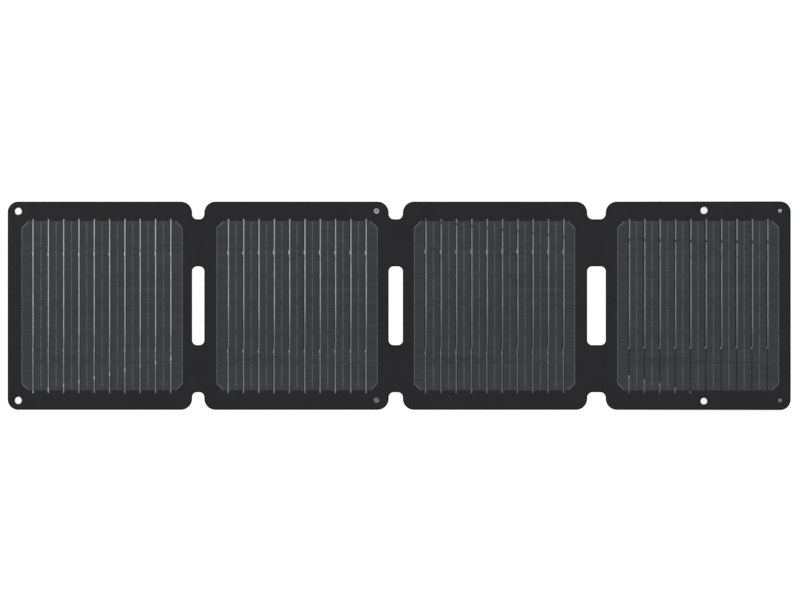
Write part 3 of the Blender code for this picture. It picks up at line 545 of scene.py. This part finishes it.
# Painted light on the cell rims: highlights on the sides and, brightest, on the cut corners; shade along the
# gaps.
SIDE_HIGHLIGHT_FINISH = cell_rim_light_material("cell_side_painted_highlight", (0.118, 0.122, 0.130))
CORNER_HIGHLIGHT_FINISH = cell_rim_light_material("cell_corner", (0.165, 0.170, 0.180))
CUT_SHADE_FINISH = cell_rim_light_material("cell_cut_painted_shade", (0.028, 0.030, 0.033))


# Outlines

def rounded_loop(corners, steps=ARC_STEPS):
    """A closed outline from its square corners, (x, y, radius), with an arc at each."""
    loop = []
    for index, (x, y, radius) in enumerate(corners):
        corner = Vector((x, y))
        back = (Vector(corners[index - 1][:2]) - corner).normalized()
        ahead = (Vector(corners[(index + 1) % len(corners)][:2]) - corner).normalized()
        centre = corner + radius * (back + ahead)
        for step in range(steps + 1):
            turn = pi / 2 * step / steps
            loop.append(centre - radius * (ahead * cos(turn) + back * sin(turn)))
    return loop


def round_hole(centre, radius):
    """Clockwise, as every hole here is."""
    turns = [-2 * pi * step / HOLE_STEPS for step in range(HOLE_STEPS)]
    return [Vector((centre[0] + radius * cos(turn), centre[1] + radius * sin(turn))) for turn in turns]


def round_disc(radius):
    """A circle about the origin, anticlockwise, as every outline here is."""
    return round_hole((0, 0), radius)[::-1]


def offset(loop, distance):
    """The loop moved to its own left, which is into the material for an outline and for a hole."""
    moved = []
    for index, point in enumerate(loop):
        back = (point - loop[index - 1]).normalized()
        ahead = (loop[(index + 1) % len(loop)] - point).normalized()
        left_back = Vector((-back.y, back.x))
        left_ahead = Vector((-ahead.y, ahead.x))
        moved.append(point + distance * (left_back + left_ahead) / (1 + left_back.dot(left_ahead)))
    return moved


def corner_radii(number):
    """The panel's corner radii, left and right."""
    left = OUTER_CORNER if number == 1 else INNER_CORNER
    right = OUTER_CORNER if number == 4 else INNER_CORNER
    return left, right


def sheet_outline():
    """The silhouette of the whole front, anticlockwise: along the bottom, then back along the top."""
    bottom = []
    for number, left in enumerate(LEFTS, 1):
        right = left + PANEL_WIDTH
        left_radius, right_radius = corner_radii(number)
        bottom += [(left, -HALF_HEIGHT, left_radius), (right, -HALF_HEIGHT, right_radius)]
        if number < 4:
            fillet = NOTCH_FILLETS[number - 1]
            bottom += [(right, -NOTCH_FLOOR, fillet), (LEFTS[number], -NOTCH_FLOOR, fillet)]
    top = [(x, -y, radius) for x, y, radius in reversed(bottom)]
    return rounded_loop(bottom + top)


def slot_outline(gap):
    left, right = LEFTS[gap] + PANEL_WIDTH, LEFTS[gap + 1]
    corners = [(left, -SLOT_HALF), (left, SLOT_HALF), (right, SLOT_HALF), (right, -SLOT_HALF)]
    return rounded_loop([(x, y, SLOT_FILLET) for x, y in corners])


def fastener_holes(number=None):
    """The holes of one panel in panel coordinates, or of all of them lying flat in the row."""
    holes = []
    for node, centre in FLAT_CENTRES.items():
        if number is None or BODY_OF[node] == f"panel_{number}":
            shift = LEFTS[number - 1] if number else 0
            radius = EYELET_HOLE if node.startswith("eyelet") else SNAP_HOLE
            holes.append(round_hole((centre.x - shift, centre.y), radius))
    return holes


def panel_outline(number):
    left, right = corner_radii(number)
    return rounded_loop([
        (0, -HALF_HEIGHT, left), (PANEL_WIDTH, -HALF_HEIGHT, right),
        (PANEL_WIDTH, HALF_HEIGHT, right), (0, HALF_HEIGHT, left),
    ])


# Solids

def fill(solid, edges, slot, upwards):
    """Closes one end of a slab between its outline and its holes, facing up or down."""
    normal = (0, 0, 1 if upwards else -1)
    made = bmesh.ops.triangle_fill(solid, edges=edges, use_beauty=True, normal=normal)
    for face in made["geom"]:
        if isinstance(face, bmesh.types.BMFace):
            face.material_index = slot
            if (face.normal.z > 0) != upwards:
                face.normal_flip()


def slab(solid, loops, rim, bottom_slot, top_slot, flat_holes=()):
    """Adds a flat body with a shaped rim round its outlines and holes. Flat holes have a straight rim."""
    ends = ([], [])
    shaped = [(loop, 1.0) for loop in loops]
    straight = [(loop, 0.0) for loop in flat_holes]
    for loop, share in shaped + straight:
        rings = [
            [solid.verts.new((*point, height)) for point in offset(loop, inset * share)]
            for inset, height, _ in rim
        ]
        for lower, upper, (_, _, slot) in zip(rings, rings[1:], rim):
            for index in range(len(loop)):
                after = (index + 1) % len(loop)
                if (lower[index].co - upper[index].co).length < 1e-9:
                    continue
                face = solid.faces.new((lower[index], lower[after], upper[after], upper[index]))
                face.material_index = slot
                face.smooth = True
        for end, ring in zip(ends, (rings[0], rings[-1])):
            end += [solid.edges.get((ring[index - 1], ring[index])) for index in range(len(ring))]
    solid.normal_update()
    fill(solid, ends[0], bottom_slot, False)
    fill(solid, ends[1], top_slot, True)
    return solid


def finish_mesh(name, solid, materials, matrix=None, sharp=35):
    """The solid as an object of the scene, with sharp edges where it turns by more than sharp degrees."""
    mesh = bpy.data.meshes.new(name)
    solid.to_mesh(mesh)
    solid.free()
    for material in materials:
        mesh.materials.append(material)
    mesh.set_sharp_from_angle(angle=radians(sharp))
    thing = bpy.data.objects.new(name, mesh)
    bpy.context.scene.collection.objects.link(thing)
    if matrix:
        thing.matrix_world = matrix
    return thing


def cut(solid, point, normal, clear_outside=False):
    """Splits the faces at a plane, and can take away what lies on the side that its normal points to."""
    parts = solid.verts[:] + solid.edges[:] + solid.faces[:]
    bmesh.ops.bisect_plane(
        solid, geom=parts, dist=1e-7, plane_co=point, plane_no=normal, clear_outer=clear_outside,
    )


def keep_between(solid, left, right):
    """Cuts away what lies outside two lines across the row, and closes the cut ends."""
    for place, outwards in ((left, -1), (right, 1)):
        if place is not None:
            cut(solid, (place, 0, 0), (outwards, 0, 0), clear_outside=True)
    bmesh.ops.holes_fill(solid, edges=[edge for edge in solid.edges if edge.is_boundary], sides=0)


# The black front sheet

def whole_sheet():
    holes = [slot_outline(gap) for gap in range(3)]
    return slab(bmesh.new(), [sheet_outline(), *holes, *fastener_holes()], SHEET_RIM, WOVEN, SKIN)


def panel_laminate(sheet, number):
    """One panel's part of the sheet, with the deeper tray under it that the stiffening board lies in."""
    part = sheet.copy()
    left = LEFTS[number - 1]
    keep_between(
        part,
        left - SEAM if number > 1 else None,
        left + PANEL_WIDTH + SEAM if number < 4 else None,
    )
    bmesh.ops.translate(part, verts=part.verts, vec=(-left, 0, 0))
    board = rounded_loop([
        (TRAY_INSET, -TRAY_HALF_HEIGHT, TRAY_CORNER), (TRAY_INSET, TRAY_HALF_HEIGHT, TRAY_CORNER),
        (PANEL_WIDTH - TRAY_INSET, TRAY_HALF_HEIGHT, TRAY_CORNER),
        (PANEL_WIDTH - TRAY_INSET, -TRAY_HALF_HEIGHT, TRAY_CORNER),
    ])
    slab(part, [panel_outline(number)], TRAY_RIM, SKIN, SKIN, [board, *fastener_holes(number)])
    name = f"panel_laminate_{number}"
    piece = finish_mesh(name, part, SHEET_FINISHES, panel_matrix(number))
    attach(piece, f"panel_{number}")
    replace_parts(piece, f"front_skin_{number}", f"front_film_{number}")


def smooth_step(value):
    value = min(max(value, 0.0), 1.0)
    return value * value * (3 - 2 * value)


def web_half(sheet, gap, panel, upper):
    """Half of a hinge web, from its panel's edge to the middle of the gap. It is cut into steps near its
    crease, and bent there only on the tilted fourth panel's side.
    """
    number = gap + 1
    centre = (LEFTS[gap] + PANEL_WIDTH + LEFTS[gap + 1]) / 2
    inwards = 1 if panel == number else -1
    edge = LEFTS[gap] + PANEL_WIDTH + SEAM if inwards > 0 else LEFTS[gap + 1] - SEAM
    crease = joint_between(f"web_{number}", f"panel_{panel}")["pos_m"][0]
    zone_end = crease + inwards * BEND_REACH
    part = sheet.copy()
    keep_between(part, min(edge, centre), max(edge, centre))
    cut(part, (0, 0, 0), (0, -1 if upper else 1, 0), clear_outside=True)
    for step in range(1, BEND_STEPS + 1):
        cut(part, (edge + (zone_end - edge) * step / BEND_STEPS, 0, 0), (1, 0, 0))
    if panel == 4:
        for vertex in part.verts:
            share = smooth_step((zone_end - vertex.co.x) / (zone_end - edge))
            turn = Matrix.Rotation(-TILT * share, 4, "Y")
            vertex.co = TO_CREASE_4 @ turn @ TO_CREASE_4.inverted() @ vertex.co
    level = "upper" if upper else "lower"
    side = "left" if inwards > 0 else "right"
    name = f"web_skin_{number}_{level}_{side}"
    piece = finish_mesh(name, part, SHEET_FINISHES)
    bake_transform(piece)
    covered = [f"web_{number}_{level}"] + ([f"conductor_{number}"] if upper else [])
    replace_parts(piece, *covered)


def back_fabric(number):
    """The woven back, with its flat pressed border, over the whole back of a panel."""
    solid = slab(bmesh.new(), [panel_outline(number)], BACK_RIM, WOVEN, WOVEN, fastener_holes(number))
    name = f"back_fabric_{number}"
    piece = finish_mesh(name, solid, SHEET_FINISHES, panel_matrix(number))
    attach(piece, f"panel_{number}")
    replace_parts(piece, f"back_cover_{number}")


# Cells and ribbons

def cell_corners(number):
    """The cell block's corners in panel coordinates."""
    low, high = flat_box(f"cell_array_{number}")
    shift = Vector((LEFTS[number - 1], 0, 0))
    return low - shift, high - shift


def strip_outline(low, high, cut_bottom, cut_top):
    """A strip of cell, anticlockwise, with its corners cut off where it ends the block."""
    bottom = CELL_CHAMFER if cut_bottom else 0
    top = CELL_CHAMFER if cut_top else 0
    points = [(low[0] + bottom, low[1]), (high[0] - bottom, low[1])]
    points += [(high[0], low[1] + bottom)] if bottom else []
    points += [(high[0], high[1] - top)] if top else []
    points += [(high[0] - top, high[1]), (low[0] + top, high[1])]
    points += [(low[0], high[1] - top)] if top else []
    points += [(low[0], low[1] + bottom)] if bottom else []
    return [Vector(point) for point in points]


def cell_strips(number):
    """The strips of a panel's cell block. Their rims carry painted light: a painted highlight on the sides,
    brightest at the block's cut corners, and painted shade on the faces that run along the gaps.
    """
    low, high = cell_corners(number)
    left, right = low.x + CELL_MARGIN, high.x - CELL_MARGIN
    solid = bmesh.new()
    pitch = (high.y - low.y + STRIP_GAP) / STRIP_COUNT
    for index in range(STRIP_COUNT):
        bottom = low.y + index * pitch
        outline = strip_outline(
            (left, bottom), (right, bottom + pitch - STRIP_GAP), index == 0, index == STRIP_COUNT - 1,
        )
        slab(solid, [outline], CELL_RIM, SILICON, SILICON)
    # Each rim face gets its painted light by the way it runs: shade across the panel, highlight up it, and the
    # brightest highlight on the cut corners.
    for face in solid.faces:
        if face.material_index == CELL_SIDE:
            side = max(face.edges, key=lambda edge: edge.calc_length())
            run = side.verts[0].co - side.verts[1].co
            if abs(run.y) < 1e-6:
                face.material_index = CELL_CUT
            elif abs(run.x) > 1e-6:
                face.material_index = CELL_CORNER
    materials = [silicon_material(number, low, high), SIDE_HIGHLIGHT_FINISH, CUT_SHADE_FINISH, CORNER_HIGHLIGHT_FINISH]
    piece = finish_mesh(f"cell_strips_{number}", solid, materials, panel_matrix(number))
    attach(piece, f"panel_{number}")
    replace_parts(piece, f"cell_array_{number}")


def sweep(solid, stations, section):
    """A closed bar: the section, (across, height) from its left foot over the top to its right foot, set at
    each station (x, y, lift) and joined to the next one along y. The lift raises all but the feet."""
    rings = []
    for x, y, lift in stations:
        heights = [height + (lift if height > RIBBON_BASE else 0) for _, height in section]
        rings.append([
            solid.verts.new((x + across, y, height)) for (across, _), height in zip(section, heights)
        ])
    count = len(section)
    for near, far in zip(rings, rings[1:]):
        for index in range(count):
            after = (index + 1) % count
            face = solid.faces.new((near[index], far[index], far[after], near[after]))
            face.smooth = True
    solid.faces.new(rings[0])
    solid.faces.new(list(reversed(rings[-1])))


RIBBON_SECTION = [
    (-0.50 * RIBBON_WIDTH, RIBBON_BASE - 0.03 * MM), (-0.50 * RIBBON_WIDTH, RIBBON_BASE + 0.03 * MM),
    (-0.42 * RIBBON_WIDTH, RIBBON_TOP - 0.01 * MM), (0.0, RIBBON_TOP),
    (0.42 * RIBBON_WIDTH, RIBBON_TOP - 0.01 * MM), (0.50 * RIBBON_WIDTH, RIBBON_BASE + 0.03 * MM),
    (0.50 * RIBBON_WIDTH, RIBBON_BASE - 0.03 * MM),
]


def ribbon_places(low, high):
    middle = (low.x + high.x) / 2
    return [middle + (index - (RIBBON_COUNT - 1) / 2) * RIBBON_PITCH for index in range(RIBBON_COUNT)]


def ribbon_wires(number):
    """The ribbons of a panel. They rise a little over each gap between two strips, and step sideways at the
    tack row."""
    low, high = cell_corners(number)
    solid = bmesh.new()
    pitch = (high.y - low.y + STRIP_GAP) / STRIP_COUNT
    steps = [(low.y - RIBBON_UNDER_BOTTOM, 0), (high.y + RIBBON_OVER_TOP, 0)]
    steps += [(TACK_ROW - STEP_REACH, 0), (TACK_ROW + STEP_REACH, 0)]
    for index in range(1, STRIP_COUNT):
        gap = low.y + index * pitch - STRIP_GAP / 2
        steps += [(gap - STEP_REACH, 0), (gap - STRIP_GAP, RIBBON_LIFT)]
        steps += [(gap + STRIP_GAP, RIBBON_LIFT), (gap + STEP_REACH, 0)]
    steps.sort()
    above, below = RIBBON_DRIFT[number]
    for x in ribbon_places(low, high):
        stations = [(x + (above if y > TACK_ROW else below), y, lift) for y, lift in steps]
        sweep(solid, stations, RIBBON_SECTION)
    bmesh.ops.recalc_face_normals(solid, faces=solid.faces)
    materials = [ribbon_material(number, *RIBBON_REFLECTION_TONES[number])]
    piece = finish_mesh(f"ribbon_wires_{number}", solid, materials, panel_matrix(number))
    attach(piece, f"panel_{number}")
    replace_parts(piece, f"ribbon_grid_{number}")


def solder_joints(number):
    """Low beads of solder where the ribbons are tacked down, a little left of each ribbon's middle. Their
    colour is a painted glint, strong in the bright rows and faint in the dull ones. They differ a little in
    length and in height on the panel."""
    solid = bmesh.new()
    for row, (y, half_length, slot) in enumerate(SOLDER_ROWS[number]):
        for index, x in enumerate(ribbon_places(*cell_corners(number))):
            drift = SOLDER_DRIFT * sin(3.1 * index + 1.7 * row + number)
            length = half_length * (1 + 0.12 * sin(2.3 * index + row))
            made = bmesh.ops.create_uvsphere(solid, u_segments=14, v_segments=8, radius=1.0)
            bmesh.ops.scale(solid, verts=made["verts"], vec=(SOLDER_HALF_WIDTH, length, SOLDER_HEIGHT))
            place = (x - SOLDER_SHIFT, y + drift, RIBBON_BASE)
            bmesh.ops.translate(solid, verts=made["verts"], vec=place)
            for face in {face for vertex in made["verts"] for face in vertex.link_faces}:
                face.smooth = True
                face.material_index = slot
    materials = []
    # Both colours are painted glints, brighter than the ribbons' own painted reflection.
    for name, brighter in (("solder", 1.5), ("dull_solder", 1.1)):
        colour = scaled((0.98, 0.99, 1.0), brighter * RIBBON_REFLECTION_TONES[number][0])
        finish = Finish(f"{name}_{number}", colour, 0.32, 1.0)
        finish.bump(finish.noise(0.8 * MM, 2.0), 0.03 * MM, 0.5)
        materials.append(finish.material)
    piece = finish_mesh(f"solder_joints_{number}", solid, materials, panel_matrix(number))
    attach(piece, f"panel_{number}")


# Fasteners

def arc_points(centre, radii, start, end, steps):
    """Points (radius, height) round part of an ellipse, from one angle in degrees to another."""
    turns = [radians(start + (end - start) * step / steps) for step in range(steps + 1)]
    return [(centre[0] + radii[0] * cos(turn), centre[1] + radii[1] * sin(turn)) for turn in turns]


# Profiles in millimetres, (radius, height above the panel's back)
EYELET_PROFILE = [
    *arc_points((4.36, 2.26), (0.24, 0.38), 0, 90, 6),
    *arc_points((4.36, 2.16), (0.76, 0.48), 96, 180, 9),
    *arc_points((4.15, 0.25), (0.55, 0.20), 180, 360, 10),
    (4.70, 0.45), (3.90, 0.47), (3.90, 2.00), (4.55, 2.21),
]
SOCKET_PROFILE = [
    *arc_points((2.38, 2.24), (0.64, 0.46), 0, 175, 12),
    (1.70, 2.05), (1.78, 1.75), (1.58, 1.64), (1.35, 1.66),
    (1.0, 1.84), (0.55, 2.04), (0.2, 2.10), (0.0, 2.11),
]
SOCKET_BACK_PROFILE = [
    *arc_points((2.3, 0.25), (0.9, 0.22), 270, 360, 6),
    (3.2, 0.42), (2.0, 0.46), (2.0, 1.35), (1.5, 1.35), (1.42, 0.9), (1.5, 0.3), (1.75, 0.06),
]
STUD_BACK_PROFILE = [
    (0.0, 0.06),
    *arc_points((2.2, 0.25), (1.0, 0.22), 270, 360, 6),
    (3.2, 0.42), (2.0, 0.46), (2.0, 1.3), (0.0, 1.3),
]
STUD_PROFILE = [
    (2.25, 2.22),
    *arc_points((1.85, 2.30), (0.44, 0.26), 0, 90, 5),
    *arc_points((1.40, 2.52), (0.34, 0.10), 90, 180, 3),
    (1.06, 2.70),
    *arc_points((0.55, 3.06), (0.62, 0.50), -50, 90, 8),
    (0.0, 3.56),
]


def revolve(solid, profile, steps=64):
    """A profile in millimetres, (radius, height), turned round the z axis. It is closed to a ring where
    both its ends stand off the axis."""
    closed = profile[0][0] > 0 and profile[-1][0] > 0
    rings = []
    for radius, height in profile:
        if radius == 0:
            rings.append([solid.verts.new((0, 0, height * MM))])
        else:
            turns = [2 * pi * step / steps for step in range(steps)]
            points = [Vector((radius * cos(turn), radius * sin(turn), height)) * MM for turn in turns]
            rings.append([solid.verts.new(point) for point in points])
    pairs = list(zip(rings, rings[1:])) + ([(rings[-1], rings[0])] if closed else [])
    for first, second in pairs:
        for index in range(steps):
            after = (index + 1) % steps
            corners = [
                first[index % len(first)], second[index % len(second)],
                second[after % len(second)], first[after % len(first)],
            ]
            face = solid.faces.new(list(dict.fromkeys(corners)))
            face.smooth = True


def turned(name, profile, node, material):
    """A fastener in its hole. A profile that starts off the axis and ends on it gets a flat foot."""
    body = BODY_OF[node]
    number = int(body[-1])
    centre = FLAT_CENTRES[node]
    solid = bmesh.new()
    open_foot = profile[0][0] > 0 and profile[-1][0] == 0
    revolve(solid, [(0.0, profile[0][1]), *profile] if open_foot else profile)
    bmesh.ops.recalc_face_normals(solid, faces=solid.faces)
    place = panel_matrix(number) @ Matrix.Translation((centre.x - LEFTS[number - 1], centre.y, 0))
    piece = finish_mesh(name, solid, [material], place, 50)
    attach(piece, body)
    return piece


def fasteners():
    """The eyelets and the press fasteners. One eyelet and the lower press fasteners are darker copies of their
    metal, which is painted shade.
    """
    # The second nickel and the second steel are darker copies of the first ones: painted shade.
    nickel = eyelet_material("nickel", (0.33, 0.33, 0.335), 0.0)
    nickel_painted_shade = eyelet_material("nickel_painted_shade", (0.33, 0.33, 0.335), 0.8)
    bright_steel = nickel_material("snap_steel", (0.40, 0.40, 0.41), 0.32)
    steel_painted_shade = nickel_material("snap_steel_painted_shade", (0.21, 0.21, 0.215), 0.38)
    for node in FLAT_CENTRES:
        if node.startswith("eyelet"):
            plating = nickel_painted_shade if node == "eyelet_4_lower" else nickel
            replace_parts(turned(f"rolled_{node}", EYELET_PROFILE, node, plating), node)
            continue
        steel = bright_steel if node.endswith("upper") else steel_painted_shade
        if node.startswith("snap_socket"):
            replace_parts(turned(f"{node}_cap", SOCKET_PROFILE, node, steel), node)
            turned(f"{node}_back", SOCKET_BACK_PROFILE, node, steel)
        else:
            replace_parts(turned(f"{node}_post", STUD_PROFILE, node, steel), node)
            turned(f"{node}_back", STUD_BACK_PROFILE, node, steel)


# Screws of the output box

SCREW_HEAD_HEIGHT = 0.80 * MM
SCREW_HEAD_RIM = (
    (0.0, 0.0, 0),
    (0.0, 0.48 * MM, 0),
    (0.10 * MM, 0.66 * MM, 0),
    (0.34 * MM, 0.78 * MM, 0),
    (0.60 * MM, SCREW_HEAD_HEIGHT, 0),
)
RECESS_FLOOR_RIM = ((0.0, 0.10 * MM, 0), (0.0, 0.22 * MM, 0))
RECESS_FLOOR_RADIUS = 1.5 * MM
CROSS_ARM = (0.27 * MM, 1.02 * MM)  # half the arm's width, and how far it reaches
THREAD = [
    (0.0, -0.02), (0.9, -0.02),
    *[(0.66 + 0.24 * (turn % 2), -0.35 * turn - 0.3) for turn in range(12)],
    (0.5, -4.6), (0.0, -4.7),
]


def cross_screws():
    """Pan-head screws with a cross recess, head down in the cover of the output box. Each one is built with
    its head up, and has been turned home to its own angle."""
    steel = nickel_material("screw_steel", (0.42, 0.42, 0.43), 0.33)
    half, reach = CROSS_ARM
    quarter = [Vector((half, reach)), Vector((half, half)), Vector((reach, half))]
    turns = [Matrix.Rotation(-pi / 2 * step, 2) for step in range(4)]
    cross = [turn @ point for turn in turns for point in quarter]
    for index in range(1, 5):
        node = f"box_screw_{index}"
        low, high = flat_box(node)
        solid = bmesh.new()
        slab(solid, [round_disc((high.x - low.x) / 2)], SCREW_HEAD_RIM, 0, 0, [cross])
        slab(solid, [round_disc(RECESS_FLOOR_RADIUS)], RECESS_FLOOR_RIM, 0, 0)
        revolve(solid, THREAD, 24)
        middle = (low + high) / 2
        place = Matrix.Translation((middle.x, middle.y, low.z + SCREW_HEAD_HEIGHT))
        head_down = Matrix.Rotation(pi, 4, "X")
        spin = Matrix.Rotation(radians(23 + 31 * index), 4, "Z")
        matrix = TILTED @ place @ head_down @ spin
        piece = finish_mesh(f"cross_screw_{index}", solid, [steel], matrix, 40)
        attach(piece, "panel_4")
        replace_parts(piece, node)


# Better finishes for the CAD nodes that show as they are

BOX_BEVEL = 0.15 * MM
RUBBER_BEVEL = 0.12 * MM
RIB_PITCH = 3.2 * MM
RIBS_SHIFT = 4 * MM
RIBS_HALF_WIDTH = 11.5 * MM
RIBS_HALF_HEIGHT = 27.5 * MM
RIB_END = 0.5 * MM
OUTER_FACE_BELOW = 5 * MM
RIDGE_PITCH = 1.1 * MM
RIDGES_FROM = 15.5 * MM


def refinish(prefixes, material, bevel=0.0):
    """A new material for the nodes whose names start so, and eased edges where bevel gives their width."""
    for name, node in frame["nodes"].items():
        if name.startswith(prefixes):
            node.data.materials.clear()
            node.data.materials.append(material)
            if bevel:
                modifier = node.modifiers.new("eased_edges", "BEVEL")
                modifier.width = bevel
                modifier.segments = 2
                modifier.limit_method = "ANGLE"
                modifier.angle_limit = radians(40)


def ribbed_cover_material():
    """The cover's plastic, with shallow ribs moulded across the middle of its outer face."""
    finish = Finish("ribbed_plastic", (0.0125, 0.0130, 0.0140), 0.46, Specular_IOR_Level=0.35)
    low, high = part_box("box_cover")
    x, y, z = finish.axes()
    texture = finish.noise(0.5 * MM, 3.0)
    cloud = finish.noise(22 * MM, 2.0)
    ribs = ((x / RIB_PITCH).fraction() - 0.5).size().ramp(0.16, 0.24)
    from_middle = (x - (low.x + high.x) / 2 - RIBS_SHIFT).size()
    across = from_middle.ramp(RIBS_HALF_WIDTH, RIBS_HALF_WIDTH - RIB_END)
    along = y.size().ramp(RIBS_HALF_HEIGHT, RIBS_HALF_HEIGHT - RIB_END)
    relief = ribs * across * along * z.below(OUTER_FACE_BELOW)
    under = finish.blend_colour(texture.ramp(0.35, 0.75), scaled(finish.colour, 1.4))
    finish.blend_colour(cloud.ramp(0.45, 0.8, 0.0, 0.5), scaled(finish.colour, 0.8), under)
    finish.roughness(cloud.ramp(0.3, 0.7, 0.42, 0.54))
    finish.bump(texture * 0.12 - relief, 0.3 * MM, 0.8)
    return finish.material


def ridged_rubber_material():
    """The flaps' rubber, with fine grip ridges near their free ends."""
    finish = Finish("ridged_rubber", (0.0085, 0.0085, 0.0090), 0.7, Specular_IOR_Level=0.25)
    _, y, _ = finish.axes()
    texture = finish.noise(0.35 * MM, 3.0)
    ridges = ((y / RIDGE_PITCH).fraction() - 0.5).size().ramp(0.15, 0.35) * y.size().above(RIDGES_FROM)
    finish.blend_colour(texture.ramp(0.35, 0.75), scaled(finish.colour, 1.5))
    finish.bump(ridges + texture * 0.15, 0.25 * MM, 0.8)
    return finish.material


def finish_cad_nodes():
    plastic = moulded_material(
        "moulded_plastic", (0.0125, 0.0130, 0.0140), 0.46, 0.5 * MM, 0.05 * MM, 0.35,
    )
    rubber = moulded_material("soft_rubber", (0.009, 0.009, 0.0095), 0.72, 0.35 * MM, 0.03 * MM, 0.25)
    glass_fibre = moulded_material("glass_fibre_board", (0.05, 0.05, 0.045), 0.6, 1.2 * MM, 0.03 * MM)
    lens = moulded_material("diffusing_lens", (0.62, 0.68, 0.66), 0.25, 1.5 * MM, 0.02 * MM)
    socket_steel = nickel_material("socket_steel", (0.72, 0.72, 0.73), 0.26)
    refinish(("box_cover",), ribbed_cover_material(), BOX_BEVEL)
    refinish(("box_base",), plastic, BOX_BEVEL)
    refinish(("box_gasket", "flap_anchor"), rubber, RUBBER_BEVEL)
    refinish(("usb_a_flap", "usb_c_flap"), ridged_rubber_material(), RUBBER_BEVEL)
    refinish(("usb_a_socket", "usb_c_socket"), socket_steel)
    refinish(("circuit_board",), board_material())
    refinish(("core_board",), glass_fibre)
    refinish(("inductor",), nickel_material("copper", (0.80, 0.42, 0.28), 0.3))
    refinish(("capacitor",), nickel_material("aluminium_can", (0.8, 0.8, 0.8), 0.32))
    refinish(("status_light",), lens)


# Camera, floor and light

CAMERA_LENS = 200.0
SENSOR_WIDTH = 36.0
VIEW_WIDTH = 0.8965
VIEW_SHIFT = (0.0014, 0.0064)


def add_camera():
    """A long lens straight above, with the whole row across the picture."""
    data = bpy.data.cameras.new("camera")
    data.lens = CAMERA_LENS
    data.sensor_width = SENSOR_WIDTH
    data.clip_end = 50.0
    camera = bpy.data.objects.new("camera", data)
    bpy.context.scene.collection.objects.link(camera)
    distance = VIEW_WIDTH * CAMERA_LENS / SENSOR_WIDTH
    camera.location = (*VIEW_SHIFT, THICKNESS + distance)
    bpy.context.scene.camera = camera


FLOOR_RADIUS = 9.0
FLOOR_LEVEL = -0.3 * MM
FLOOR_GLOW = 0.84


def add_floor():
    """A round pale floor that gives off most of its brightness itself, so that it has no dark places."""
    finish = Finish("pale_floor", (0.25, 0.25, 0.25), 0.9, Specular_IOR_Level=0.0)
    speckle = finish.noise(4 * MM, 2.0)
    finish.blend_colour(speckle.ramp(0.4, 0.8), (0.24, 0.24, 0.24))
    finish.shader.inputs["Emission Color"].default_value = (1.0, 1.0, 1.0, 1.0)
    finish.shader.inputs["Emission Strength"].default_value = FLOOR_GLOW
    solid = bmesh.new()
    bmesh.ops.create_circle(solid, cap_ends=True, segments=96, radius=FLOOR_RADIUS)
    floor = finish_mesh("floor", solid, [finish.material], Matrix.Translation((0, 0, FLOOR_LEVEL)))


# Where each softbox stands, its width and height in metres, and its power in watts
SOFTBOXES = (
    ((-2.3, 1.5, 2.9), (2.2, 2.2), 70),
    ((2.7, 0.2, 2.8), (2.4, 2.4), 40),
    ((0.6, 2.8, 2.8), (3.0, 1.8), 38),
    ((0.0, -2.9, 2.8), (3.0, 1.8), 38),
)


def add_softbox(place, size, power):
    """A soft rectangular light that faces the middle of the object."""
    data = bpy.data.lights.new("softbox", "AREA")
    data.shape = "RECTANGLE"
    data.size, data.size_y = size
    data.energy = power
    light = bpy.data.objects.new("softbox", data)
    light.location = place
    light.rotation_euler = (-Vector(place)).to_track_quat("-Z", "Y").to_euler()
    light.visible_camera = False
    bpy.context.scene.collection.objects.link(light)


def add_light():
    """Four softboxes in an even studio, which is darker overhead and brighter towards the upper left."""
    world = bpy.data.worlds.new("studio")
    world.use_nodes = True
    tree = world.node_tree
    direction = tree.nodes.new("ShaderNodeSeparateXYZ")
    tree.links.new(tree.nodes.new("ShaderNodeTexCoord").outputs["Generated"], direction.inputs[0])
    x, y, z = (Field(tree, output) for output in direction.outputs)
    strength = z.ramp(0.45, 0.98, 0.85, 0.22) * ((y - x) * 0.42 + 1.0)
    background = tree.nodes["Background"]
    background.inputs["Color"].default_value = (1.0, 1.0, 1.0, 1.0)
    tree.links.new(strength.socket, background.inputs["Strength"])
    bpy.context.scene.world = world
    for place, size, power in SOFTBOXES:
        add_softbox(place, size, power)
    bpy.context.scene.view_settings.view_transform = "Standard"


add_camera()
front = whole_sheet()
for panel_number in range(1, 5):
    panel_laminate(front, panel_number)
    back_fabric(panel_number)
    cell_strips(panel_number)
    ribbon_wires(panel_number)
    solder_joints(panel_number)
for gap_index in range(3):
    for panel_number in (gap_index + 1, gap_index + 2):
        for is_upper in (True, False):
            web_half(front, gap_index, panel_number, is_upper)
front.free()
fasteners()
cross_screws()
finish_cad_nodes()
add_floor()
add_light()
